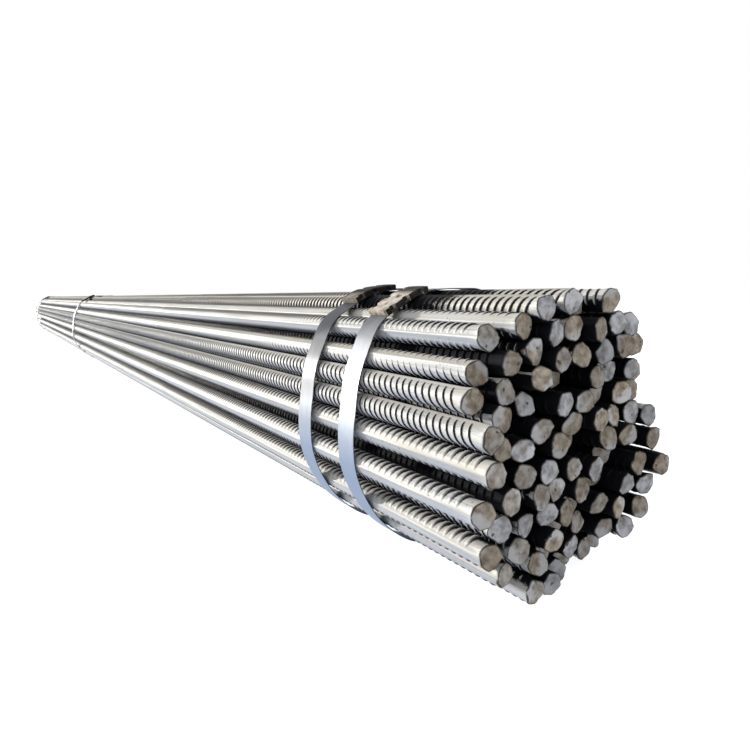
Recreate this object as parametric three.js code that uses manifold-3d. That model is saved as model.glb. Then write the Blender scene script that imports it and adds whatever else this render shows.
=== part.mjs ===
// A bundle of ribbed steel reinforcing bars: straight bars of one stock length, laid in a round pack and held by
// steel straps. Units are millimetres. The bars lie along X, +Z is up, and the bundle rests on its straps at z = 0.
import * as THREE from "three";
import { mergeVertices } from "three/addons/utils/BufferGeometryUtils.js";
import Module from "manifold-3d";

const wasm = await Module();
wasm.setup();

// ---- Driving dimensions ----
const BAR_LENGTH = 6000; // stock length that the bars are cut to
const BAR_OVER_RIBS = 27; // a bar of 25 mm nominal diameter, measured over its ribs
const BAR_SIDES = 16;
const BAR_GAP = 0.3; // clearance between bars that rest on each other

const WEB_THICKNESS = 3; // the thin web that joins the neighbouring bars of a layer into one solid
const WEB_END_INSET = 150; // the webs stop this far short of the bars' ends

const STRAP_WIDTH = 37;
const STRAP_THICKNESS = 1;
const STRAP_GAP = 0.3; // clearance between a strap and the bars that it holds
const STRAP_STEP_DEG = 15; // a strap has one corner for each such step of its bend round a bar
const FRONT_STRAP_INSET = 214; // from the bars' +X ends to the middle of the first strap
const STRAP_PAIR_SPACING = 111; // between the two straps near the +X ends
const REAR_STRAP_INSET = 300; // from the bars' -X ends to the middle of the last strap

const SEAL_LENGTH = 64; // along the strap
const SEAL_WIDTH = 41; // across the strap
const SEAL_THICKNESS = 2.4;
const SEAL_GAP = 0.3; // clearance between a seal and its strap
const SEAL_ANGLE_DEG = 118; // where a seal sits round the pack, turned up from the +Y side
const SECOND_SEAL_ANGLE_DEG = 109; // the second strap was sealed a little nearer to the top

// The bars of each layer, from the bottom layer up. A bar is two numbers: how far it lies from the middle of the
// pack, in bar pitches, and how far its +X end stands out from the others' (or, below zero, back from it).
const LAYERS = [
  [[-2.2, 5], [-1.15, 0], [-0.1, -20], [0.95, -40]],
  [[-3.5, 0], [-1.9, 0], [-0.75, -25], [0.5, -15], [1.9, -30], [2.95, -40]],
  [[-4.3, 3], [-2.7, -5], [-1.3, 5], [-0.1, -25], [1.2, -25], [2.4, -15], [3.7, -15]],
  [[-3.8, 0], [-2.6, 0], [-1.5, 0], [-0.5, 0], [0.6, -25], [1.7, -8], [2.8, -5], [4.3, -8]],
  [[-5.06, 14], [-3.5, 5], [-2.1, 8], [-0.9, -3], [0.3, 0], [1.9, -25], [3.0, 0], [4.5, -5]],
  [[-4.0, -10], [-2.7, 0], [-1.5, 0], [-0.2, 0], [1.1, 0], [2.3, -20], [3.7, 0], [5.1, 2]],
  [[-4.95, 28], [-4.0, 0], [-3.0, 0], [-1.1, 3], [0.3, -25], [1.7, 0], [2.9, 0], [4.05, -25], [5.1, -10]],
  [[-4.9, 20], [-3.95, 0], [-1.9, 0], [-0.4, 0], [1.1, 3], [2.3, -8], [3.5, -10], [4.9, -15]],
  [[-4.75, -14], [-3.4, -10], [-2.3, -15], [-1.0, 5], [0.4, -3], [1.7, -20], [2.8, -8], [4.1, -25]],
  [[-4.35, -20], [-3.25, -5], [-2.0, 0], [-0.5, -25], [1.1, -3], [2.3, -20], [3.7, -16], [4.75, -35]],
  [[-3.75, -24], [-2.3, -2], [-1.2, 5], [0, 0], [1.3, 0], [2.4, 0], [3.6, -12]],
  [[-2.75, -6], [-1.45, 2], [-0.35, -3], [0.75, 5], [1.95, 0], [3.05, -8]],
  [[-1.95, 2], [-0.6, 0], [0.4, -22], [1.4, 0]],
];

// The pack is round: the axes of its outermost bars lie on a circle of this radius, in bar pitches.
const OUTER_CIRCLE_PITCHES = 5.2;

// ---- Sizes that follow ----
const BAR_RADIUS = BAR_OVER_RIBS / 2;
const PITCH = BAR_OVER_RIBS + BAR_GAP;
const OUTER_CIRCLE = OUTER_CIRCLE_PITCHES * PITCH;
const LOWEST_AXIS = STRAP_THICKNESS + STRAP_GAP + BAR_RADIUS;
const FLAT_HALF_WIDTH = Math.max(...LAYERS[0].map(([place]) => Math.abs(place))) * PITCH;

// The bundle's middle is at x = 0, so the bars as a whole are moved by the middle of their stand-outs.
const STAND_OUTS = LAYERS.flat().map(([, standOut]) => standOut);
const MIDDLE_STAND_OUT = (Math.max(...STAND_OUTS) + Math.min(...STAND_OUTS)) / 2;
const FRONT_ENDS = BAR_LENGTH / 2 - MIDDLE_STAND_OUT;
const REAR_ENDS = -BAR_LENGTH / 2 - MIDDLE_STAND_OUT;

// ---- Materials ----
const steel = (name, color, roughness, metalness) =>
  new THREE.MeshStandardMaterial({ name, color, roughness, metalness });

const barSteel = steel("bar", 0x8d9096, 0.5, 0.85);
const strapSteel = steel("strap", 0xc3c7cc, 0.35, 0.9);
const sealSteel = steel("strap_seal", 0xa58a72, 0.6, 0.6);

// ---- Solids ----
function toSolid(geometry) {
  const bare = geometry.clone();
  bare.deleteAttribute("normal");
  bare.deleteAttribute("uv");
  const merged = mergeVertices(bare, 1e-4);
  return new wasm.Manifold(
    new wasm.Mesh({
      numProp: 3,
      vertProperties: merged.getAttribute("position").array,
      triVerts: new Uint32Array(merged.getIndex().array),
    }),
  );
}

function toMesh(solid, name, material) {
  const { vertProperties, triVerts } = solid.getMesh();
  const geometry = new THREE.BufferGeometry();
  geometry.setAttribute("position", new THREE.BufferAttribute(vertProperties, 3));
  geometry.setIndex(new THREE.BufferAttribute(triVerts, 1));
  geometry.computeVertexNormals();
  const mesh = new THREE.Mesh(geometry, material);
  mesh.name = name;
  return mesh;
}

// ---- The pack: where each bar lies ----
// The height of a bar's axis over the strap's round cradle, at a distance y from the middle.
function cradleHeight(y) {
  const reach = Math.min(Math.abs(y), OUTER_CIRCLE);
  if (reach <= FLAT_HALF_WIDTH) return LOWEST_AXIS;
  const rise = (at) => OUTER_CIRCLE - Math.sqrt(OUTER_CIRCLE ** 2 - at ** 2);
  return LOWEST_AXIS + rise(reach) - rise(FLAT_HALF_WIDTH);
}

// A bar comes down at y until it touches the cradle or a bar of a lower layer.
function restHeight(y, lower) {
  const touching = lower
    .filter((bar) => Math.abs(bar.y - y) < PITCH)
    .map((bar) => bar.z + Math.sqrt(PITCH ** 2 - (bar.y - y) ** 2));
  return Math.max(cradleHeight(y), ...touching);
}

function packBars() {
  const layers = [];
  for (const row of LAYERS) {
    const lower = layers.flat();
    layers.push(
      row.map(([place, standOut]) => {
        const y = place * PITCH;
        return { x: standOut - MIDDLE_STAND_OUT, y, z: restHeight(y, lower) };
      }),
    );
  }
  return layers;
}

// ---- Bars ----
function barSolid({ x, y, z }) {
  const bar = new THREE.CylinderGeometry(BAR_RADIUS, BAR_RADIUS, BAR_LENGTH, BAR_SIDES);
  return toSolid(bar.rotateZ(-Math.PI / 2).translate(x, y, z));
}

function webSolid(left, right) {
  const span = Math.hypot(right.y - left.y, right.z - left.z);
  const web = new THREE.BoxGeometry(BAR_LENGTH - 2 * WEB_END_INSET, span, WEB_THICKNESS);
  const tilt = Math.atan2(right.z - left.z, right.y - left.y);
  return toSolid(web.rotateX(tilt).translate(0, (left.y + right.y) / 2, (left.z + right.z) / 2));
}

function layerSolid(bars) {
  return bars
    .slice(1)
    .reduce(
      (solid, bar, i) => solid.add(webSolid(bars[i], bar)).add(barSolid(bar)),
      barSolid(bars[0]),
    );
}

// ---- Straps ----
// The corners of the tight loop round all the bars, at a distance out from their surfaces.
function loopCorners(bars, out) {
  const radius = BAR_RADIUS + out;
  const points = [];
  for (const bar of bars)
    for (let degrees = 0; degrees < 360; degrees += STRAP_STEP_DEG) {
      const angle = THREE.MathUtils.degToRad(degrees);
      points.push(new THREE.Vector2(bar.y + radius * Math.cos(angle), bar.z + radius * Math.sin(angle)));
    }
  points.sort((a, b) => a.x - b.x || a.y - b.y);
  const turnsLeft = (a, b, c) => (b.x - a.x) * (c.y - a.y) - (b.y - a.y) * (c.x - a.x) > 1e-3;
  const half = (ordered) => {
    const chain = [];
    for (const point of ordered) {
      while (chain.length > 1 && !turnsLeft(chain.at(-2), chain.at(-1), point)) chain.pop();
      chain.push(point);
    }
    return chain.slice(0, -1);
  };
  return [...half(points), ...half([...points].reverse())];
}

// A band of the loop between two distances from the bars, standing across the pack at x.
function bandSolid(bars, inner, outer, width, x) {
  const shape = new THREE.Shape(loopCorners(bars, outer));
  shape.holes.push(new THREE.Path(loopCorners(bars, inner)));
  const band = new THREE.ExtrudeGeometry(shape, { depth: width, bevelEnabled: false });
  band.translate(0, 0, -width / 2);
  band.applyMatrix4(new THREE.Matrix4().makeBasis(
    new THREE.Vector3(0, 1, 0),
    new THREE.Vector3(0, 0, 1),
    new THREE.Vector3(1, 0, 0),
  ));
  return toSolid(band.translate(x, 0, 0));
}

const strapSolid = (bars, x) => bandSolid(bars, STRAP_GAP, STRAP_GAP + STRAP_THICKNESS, STRAP_WIDTH, x);

// The seal is the stretch of a thicker, wider band that lies over the strap at the seal's angle.
function sealSolid(bars, x, degrees) {
  const inner = STRAP_GAP + STRAP_THICKNESS + SEAL_GAP;
  const band = bandSolid(bars, inner, inner + SEAL_THICKNESS, SEAL_WIDTH, x);
  const angle = THREE.MathUtils.degToRad(degrees);
  const reach = OUTER_CIRCLE + PITCH;
  const window = new THREE.BoxGeometry(2 * SEAL_WIDTH, reach, SEAL_LENGTH);
  window.translate(0, reach / 2, 0).rotateX(angle);
  return band.intersect(toSolid(window.translate(x, 0, LOWEST_AXIS + OUTER_CIRCLE)));
}

// ---- The bundle ----
const bundle = new THREE.Group();
const layers = packBars();
const allBars = layers.flat();

layers.forEach((bars, i) => {
  const name = `bar_layer_${String(i + 1).padStart(2, "0")}`;
  bundle.add(toMesh(layerSolid(bars), name, barSteel));
});

const strapPlaces = {
  front: FRONT_ENDS - FRONT_STRAP_INSET,
  second: FRONT_ENDS - FRONT_STRAP_INSET - STRAP_PAIR_SPACING,
  middle: 0,
  rear: REAR_ENDS + REAR_STRAP_INSET,
};
for (const [place, x] of Object.entries(strapPlaces)) {
  bundle.add(toMesh(strapSolid(allBars, x), `strap_${place}`, strapSteel));
  const sealAngle = place === "second" ? SECOND_SEAL_ANGLE_DEG : SEAL_ANGLE_DEG;
  bundle.add(toMesh(sealSolid(allBars, x, sealAngle), `strap_seal_${place}`, sealSteel));
}

export default bundle;
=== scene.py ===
"""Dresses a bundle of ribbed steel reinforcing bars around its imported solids.

Each bar is a hot-rolled core with two lengthwise ribs, two rows of crescent ribs and two sheared ends.
Four galvanised straps with crimped, rusty seals hold the pack. Every size is in metres, in the frame of the
solids.
"""

import logging
import math
from dataclasses import dataclass, field
from enum import Enum
from typing import ClassVar

import bpy
import numpy as np
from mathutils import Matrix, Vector

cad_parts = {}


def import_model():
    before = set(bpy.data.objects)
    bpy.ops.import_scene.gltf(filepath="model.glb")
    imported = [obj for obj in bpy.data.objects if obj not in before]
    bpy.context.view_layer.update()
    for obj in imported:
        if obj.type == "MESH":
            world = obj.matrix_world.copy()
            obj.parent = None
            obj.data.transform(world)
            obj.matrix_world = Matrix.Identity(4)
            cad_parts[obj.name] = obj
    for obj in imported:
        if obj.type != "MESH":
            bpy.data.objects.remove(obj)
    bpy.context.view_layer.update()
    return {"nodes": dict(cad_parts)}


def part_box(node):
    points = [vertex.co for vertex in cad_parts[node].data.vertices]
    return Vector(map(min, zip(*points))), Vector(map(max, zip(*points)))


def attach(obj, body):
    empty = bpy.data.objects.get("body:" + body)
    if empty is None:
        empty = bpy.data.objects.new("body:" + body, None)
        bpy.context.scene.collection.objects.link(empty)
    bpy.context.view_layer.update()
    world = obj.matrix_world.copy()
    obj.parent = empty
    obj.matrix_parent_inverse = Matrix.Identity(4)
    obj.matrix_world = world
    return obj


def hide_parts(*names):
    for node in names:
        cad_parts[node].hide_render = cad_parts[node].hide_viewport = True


LOG = logging.getLogger("rebar_bundle")
MM = 0.001
SEED = 20

BAR_OVER_RIBS = 27 * MM
BAR_RADIUS = BAR_OVER_RIBS / 2

# A range that a value is read against: where it starts and ends, and what it gives there if not 0 and 1.
# A value past either end gives what that end gives.
Range = dict[str, float]


# ---- Shared helpers ----


def linear(hex_colour: str) -> tuple[float, float, float, float]:
    """Turns an sRGB colour to linear light.

    Args:
        hex_colour: Six hexadecimal digits.

    Returns:
        Red, green, blue and an alpha of 1.
    """
    parts = [int(hex_colour[at : at + 2], 16) / 255 for at in (0, 2, 4)]
    red, green, blue = (c / 12.92 if c <= 0.04045 else ((c + 0.055) / 1.055) ** 2.4 for c in parts)
    return red, green, blue, 1.0


def feed(node: bpy.types.Node, inputs: dict) -> None:
    """Sets a node's inputs.

    Args:
        node: The node.
        inputs: For a socket's name or number, its value, the output that feeds it, or the node whose first
            output does.
    """
    for key, value in inputs.items():
        source = value.outputs[0] if isinstance(value, bpy.types.Node) else value
        if isinstance(source, bpy.types.NodeSocket):
            node.id_data.links.new(source, node.inputs[key])
        else:
            node.inputs[key].default_value = source


def add(
    tree: bpy.types.NodeTree, kind: str, inputs: dict | None = None, **settings: object
) -> bpy.types.Node:
    """Adds a node with its settings and links.

    Args:
        tree: The shader or geometry tree that gets the node.
        kind: The node's Blender type name.
        inputs: What each of its inputs gets, as for feed.
        **settings: The node's own settings.

    Returns:
        The new node.
    """
    node = tree.nodes.new(kind)
    for name, value in settings.items():
        setattr(node, name, value)
    feed(node, inputs or {})
    return node


def new_finish(name: str) -> tuple[bpy.types.Material, bpy.types.NodeTree, bpy.types.Node]:
    """Starts a material.

    Args:
        name: The material's name.

    Returns:
        The material, its tree and its shader.
    """
    made = bpy.data.materials.new(name)
    made.use_nodes = True
    return made, made.node_tree, made.node_tree.nodes["Principled BSDF"]


def set_stops(ramp: bpy.types.Node, stops: dict[float, str]) -> None:
    """Gives a colour ramp its stops.

    Args:
        ramp: The colour ramp node.
        stops: The sRGB colour at each place from 0 to 1.
    """
    elements = ramp.color_ramp.elements
    while len(elements) < len(stops):
        elements.new(1.0)
    for element, (place, colour) in zip(elements, stops.items()):
        element.position = place
        element.color = linear(colour)


def coordinates(mesh: bpy.types.Mesh) -> np.ndarray:
    """Reads where a mesh's vertices lie.

    Args:
        mesh: The mesh.

    Returns:
        A row of X, Y and Z for each vertex.
    """
    points = np.zeros(len(mesh.vertices) * 3)
    mesh.vertices.foreach_get("co", points)
    return points.reshape(-1, 3)


def soften(mesh: bpy.types.Mesh, sharp_over: float) -> None:
    """Shades a mesh smooth, apart from its edges over an angle.

    Args:
        mesh: The mesh to shade.
        sharp_over: The angle in degrees past which an edge stays sharp.
    """
    mesh.polygons.foreach_set("use_smooth", np.ones(len(mesh.polygons), dtype=bool))
    mesh.set_sharp_from_angle(angle=math.radians(sharp_over))
    mesh.update()


def set_floats(mesh: bpy.types.Mesh, name: str, values: np.ndarray) -> None:
    """Gives a mesh a number for each of its vertices.

    Args:
        mesh: The mesh.
        name: The attribute's name.
        values: A number for each vertex.
    """
    mesh.attributes.new(name, "FLOAT", "POINT").data.foreach_set("value", values)


def tube_faces(rings: int, sides: int) -> list[tuple[int, ...]]:
    """Lists the quads that join rings of as many points, one ring after another.

    Args:
        rings: How many rings there are.
        sides: How many points a ring has.

    Returns:
        The faces, by the numbers of their points.
    """
    faces = []
    for ring in range(rings - 1):
        for side in range(sides):
            after = (side + 1) % sides
            low, high = ring * sides, (ring + 1) * sides
            faces.append((low + side, low + after, high + after, high + side))
    return faces


def add_piece(name: str, mesh: bpy.types.Mesh, node: str) -> bpy.types.Object:
    """Puts a finished mesh in the bundle.

    Args:
        name: The piece's name.
        mesh: Its mesh, with its place in it.
        node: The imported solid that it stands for.

    Returns:
        The piece.
    """
    piece = bpy.data.objects.new(name, mesh)
    bpy.context.scene.collection.objects.link(piece)
    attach(piece, "root")
    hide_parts(node)
    LOG.info("%s: %d faces, stands for %s", name, len(mesh.polygons), node)
    return piece


# ---- Finishes ----


@dataclass(frozen=True)
class HotRolledScale:
    """Hot-rolled steel under blue-black mill scale, grey where the bar is open to the outside.

    The grey is partly scale rubbed off and partly painted light. The scale colour is near black, darker than
    mill scale: partly the scale, partly painted shade between the bars. The flanks that face forward, away
    from the key light, keep it as painted shade, though less so behind the front third, where the bars are
    lighter all round, partly from handling and partly as less painted shade. The rubbed steel is only partly
    a metal to the eye, because a film of oxide still dulls it, tan on the tops, where dust and the first rust
    settle. The undersides are tinted bluish as a painted reflection. Forward of each seal a near-black patch
    on the bars is a painted shadow of the seal.
    """

    seals: tuple[Vector, ...]
    bright: str = "D6D6D2"
    dull: str = "AAACAF"
    stained: str = "C2B9A4"
    # Undersides are tinted bluish: a painted reflection.
    bluish: str = "AFBBD2"
    dusty: str = "C7BBA6"
    # Near black, darker than mill scale: partly the scale, partly painted shade between the bars. The next
    # colour is a lighter painted shade for half-open sides.
    scale: str = "0D0E13"
    open_shade: str = "2B2D35"
    # Near black forward of each seal: a painted shadow of the seal.
    seal_shadow: str = "0B0C10"
    rust: str = "6F4E38"
    streak_length: float = 160 * MM
    streak_width: float = 2.2 * MM
    dull_at: float = 0.3
    bright_at: float = 0.52
    patch_size: float = 70 * MM
    speck_size: float = 3.2 * MM
    grain_size: float = 0.9 * MM
    grain_depth: float = 0.2 * MM
    film_unevenness: float = 0.5
    rub_unevenness: float = 0.3
    # How far the rear's lighter steel also covers the forward flanks' painted shade.
    handling: float = 0.8
    # Where each seal's painted shadow lies on the bars, and how big it is.
    shadow_ahead: float = 25 * MM
    shadow_side: float = -28 * MM
    shadow_up: float = 305 * MM
    shadow_along: float = 95 * MM
    shadow_across: float = 55 * MM
    shade_unevenness: float = 0.5
    metallic: float = 0.14
    specular: float = 0.1
    # Where each film, each painted shade or reflection, or the rubbing, starts and is full, and how far it
    # then covers.
    stain_range: ClassVar[Range] = {"From Min": 0.95, "From Max": 1.5, "To Max": 0.5}
    underside_range: ClassVar[Range] = {"From Min": 0.2, "From Max": -0.35, "To Max": 0.6}
    top_range: ClassVar[Range] = {"From Min": 0.5, "From Max": 1.15, "To Max": 0.5}
    dust_range: ClassVar[Range] = {"To Min": 1.0, "To Max": 0.0}
    rust_range: ClassVar[Range] = {"From Min": 0.66, "From Max": 0.74, "To Max": 0.7}
    open_shade_range: ClassVar[Range] = {"From Min": 0.15, "From Max": 0.6}
    open_range: ClassVar[Range] = {"From Min": 0.24, "From Max": 0.44}
    # Flanks that face forward, away from the key light, stay dark: painted shade.
    flank_range: ClassVar[Range] = {"From Min": 0.12, "From Max": 0.34, "To Min": 1.0, "To Max": 0.0}
    shade_range: ClassVar[Range] = {"From Min": 1.22, "From Max": 1.02, "To Max": 0.99}
    steel_roughness: ClassVar[Range] = {"To Min": 0.66, "To Max": 0.42}
    scale_roughness: ClassVar[Range] = {"To Min": 0.22, "To Max": 0.0}

    def material(self) -> bpy.types.Material:
        """Builds the finish of the bars' rolled sides.

        Returns:
            The material.
        """
        made, tree, shader = new_finish("hot_rolled_scale")
        place = add(tree, "ShaderNodeTexCoord").outputs["Object"]
        lengthwise = (1 / self.streak_length, 1 / self.streak_width, 1 / self.streak_width)
        stretched = add(tree, "ShaderNodeMapping", {"Vector": place, "Scale": lengthwise})
        streaks = add(tree, "ShaderNodeTexNoise", {"Vector": stretched, "Scale": 1.0, "Detail": 4.0})
        specks = add(
            tree, "ShaderNodeTexNoise", {"Vector": place, "Scale": 1 / self.speck_size, "Detail": 3.0}
        )
        steel = self.steel(tree, place, streaks, specks)
        rubbed_and_lit = self.rubbed_and_lit(tree, specks)
        # How open each side is lays painted shade between the bars: near-black scale where closed, lighter
        # painted shade where half open, rubbed and lit steel where open.
        reach = add(tree, "ShaderNodeAttribute", attribute_name="reach").outputs["Fac"]
        worn = add(tree, "ShaderNodeMapRange", {"Value": reach, **self.open_shade_range})
        # The seals' painted shadow on the bars, which also takes the metal out there.
        in_seal_shadow = self.in_seal_shadow(tree, place, specks)
        colour = linear(self.scale)
        for cover, film in ((worn, linear(self.open_shade)), (rubbed_and_lit, steel), (in_seal_shadow, linear(self.seal_shadow))):
            mixed = {"Factor": cover, 6: colour, 7: film}
            colour = add(tree, "ShaderNodeMix", mixed, data_type="RGBA").outputs[2]
        gloss = add(tree, "ShaderNodeMapRange", {"Value": streaks, **self.steel_roughness})
        matt = add(tree, "ShaderNodeMapRange", {"Value": rubbed_and_lit, **self.scale_roughness})
        grain = add(
            tree, "ShaderNodeTexNoise", {"Vector": place, "Scale": 1 / self.grain_size, "Detail": 2.0}
        )
        height = add(tree, "ShaderNodeMath", {0: grain, 1: streaks}, operation="ADD")
        relief = {"Height": height, "Distance": self.grain_depth, "Strength": 0.5}
        unpainted_share = add(tree, "ShaderNodeMath", {0: 1.0, 1: in_seal_shadow}, operation="SUBTRACT")
        bare = add(tree, "ShaderNodeMath", {0: rubbed_and_lit, 1: unpainted_share}, operation="MULTIPLY")
        surface = {
            "Base Color": colour,
            "Metallic": add(tree, "ShaderNodeMath", {0: bare, 1: self.metallic}, operation="MULTIPLY"),
            "Roughness": add(tree, "ShaderNodeMath", {0: gloss, 1: matt}, operation="ADD"),
            "Normal": add(tree, "ShaderNodeBump", relief),
            "Specular IOR Level": self.specular,
        }
        feed(shader, surface)
        return made

    def steel(
        self,
        tree: bpy.types.NodeTree,
        place: bpy.types.NodeSocket,
        streaks: bpy.types.Node,
        specks: bpy.types.Node,
    ) -> bpy.types.NodeSocket:
        """Adds the nodes that colour the bare steel, with a painted bluish reflection on its undersides and a
        film of dust on its tops.

        Args:
            tree: The material's tree.
            place: The object coordinates.
            streaks: The noise of the lengthwise streaks.
            specks: The noise that rusts it.

        Returns:
            The output that holds the colour.
        """
        drawn = add(tree, "ShaderNodeValToRGB", {"Fac": streaks})
        set_stops(drawn, {self.dull_at: self.dull, self.bright_at: self.bright})
        patches = add(
            tree, "ShaderNodeTexNoise", {"Vector": place, "Scale": 1 / self.patch_size, "Detail": 2.0}
        )
        tone = add(tree, "ShaderNodeAttribute", attribute_name="tone").outputs["Fac"]
        dirty = add(tree, "ShaderNodeMath", {0: tone, 1: patches}, operation="ADD")
        stain = add(tree, "ShaderNodeMapRange", {"Value": dirty, **self.stain_range})
        facing = add(tree, "ShaderNodeNewGeometry").outputs["Normal"]
        upward = add(tree, "ShaderNodeSeparateXYZ", {0: facing}).outputs["Z"]
        uneven = {0: patches, 1: self.film_unevenness, 2: upward}
        shifted = add(tree, "ShaderNodeMath", uneven, operation="MULTIPLY_ADD")
        # Undersides turn bluish, a painted reflection; tops get a film of dust.
        underside = add(tree, "ShaderNodeMapRange", {"Value": shifted, **self.underside_range})
        top = add(tree, "ShaderNodeMapRange", {"Value": shifted, **self.top_range})
        darker = add(tree, "ShaderNodeMapRange", {"Value": tone, **self.dust_range})
        dust = add(tree, "ShaderNodeMath", {0: top, 1: darker}, operation="MULTIPLY")
        rust = add(tree, "ShaderNodeMapRange", {"Value": specks, **self.rust_range})
        films = (stain, self.stained), (underside, self.bluish), (dust, self.dusty), (rust, self.rust)
        colour = drawn
        for cover, film in films:
            mixed = {"Factor": cover, 6: colour, 7: linear(film)}
            colour = add(tree, "ShaderNodeMix", mixed, data_type="RGBA").outputs[2]
        return colour

    def in_seal_shadow(
        self, tree: bpy.types.NodeTree, place: bpy.types.NodeSocket, specks: bpy.types.Node
    ) -> bpy.types.Node:
        """Adds the nodes that tell where the painted shadow of the seals lies on the bars, forward of each
        seal.

        Args:
            tree: The material's tree.
            place: The object coordinates.
            specks: The noise that frays the shadow's edges.

        Returns:
            The node that gives nearly 1 in the painted shadow and 0 elsewhere.
        """
        shrink = (1 / self.shadow_along, 1 / self.shadow_across, 1 / self.shadow_across)
        distances = []
        for seal in self.seals:
            spot = Vector((seal.x + self.shadow_ahead, self.shadow_side, self.shadow_up))
            away = add(tree, "ShaderNodeVectorMath", {0: place, 1: spot}, operation="SUBTRACT")
            shrunk = add(tree, "ShaderNodeVectorMath", {0: away, 1: shrink}, operation="MULTIPLY")
            distance = add(tree, "ShaderNodeVectorMath", {0: shrunk}, operation="LENGTH")
            distances.append(distance.outputs["Value"])
        nearest, *others = distances
        for distance in others:
            nearest = add(tree, "ShaderNodeMath", {0: nearest, 1: distance}, operation="MINIMUM")
        uneven = {0: specks, 1: self.shade_unevenness, 2: nearest}
        frayed = add(tree, "ShaderNodeMath", uneven, operation="MULTIPLY_ADD")
        return add(tree, "ShaderNodeMapRange", {"Value": frayed, **self.shade_range})

    def rubbed_and_lit(self, tree: bpy.types.NodeTree, specks: bpy.types.Node) -> bpy.types.Node:
        """Adds the nodes that tell where the steel shows, partly rubbed off and partly painted light, and
        where the painted shade lies.

        Args:
            tree: The material's tree.
            specks: The noise that frays the edges of the rubbed, lit places.

        Returns:
            The node that gives 1 on rubbed, lit steel and 0 on scale and painted shade.
        """
        reach = add(tree, "ShaderNodeAttribute", attribute_name="reach").outputs["Fac"]
        uneven = {0: specks, 1: self.rub_unevenness, 2: reach}
        frayed = add(tree, "ShaderNodeMath", uneven, operation="MULTIPLY_ADD")
        open_side = add(tree, "ShaderNodeMapRange", {"Value": frayed, **self.open_range})
        # Flanks that face forward, away from the key light, keep painted shade.
        facing = add(tree, "ShaderNodeNewGeometry").outputs["Normal"]
        forward = add(tree, "ShaderNodeSeparateXYZ", {0: facing}).outputs["X"]
        rear_flank = add(tree, "ShaderNodeMapRange", {"Value": forward, **self.flank_range})
        # Toward the rear the steel is lighter all round: partly wear from handling, partly less painted
        # shade.
        handled_and_lit = add(tree, "ShaderNodeAttribute", attribute_name="handled_and_lit").outputs["Fac"]
        far_cleared_and_lit = add(tree, "ShaderNodeMath", {0: handled_and_lit, 1: self.handling}, operation="MULTIPLY")
        reached = add(tree, "ShaderNodeMath", {0: rear_flank, 1: far_cleared_and_lit}, operation="MAXIMUM")
        return add(tree, "ShaderNodeMath", {0: open_side, 1: reached}, operation="MULTIPLY")


class CutTint(Enum):
    """What the air has made of a cut face: its light and its dark sRGB colour."""

    RUSTED = ("CDC0AD", "857869")
    BARE = ("D0C9C0", "8A827A")
    BLUED = ("D0D0D3", "8B8B8E")


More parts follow.
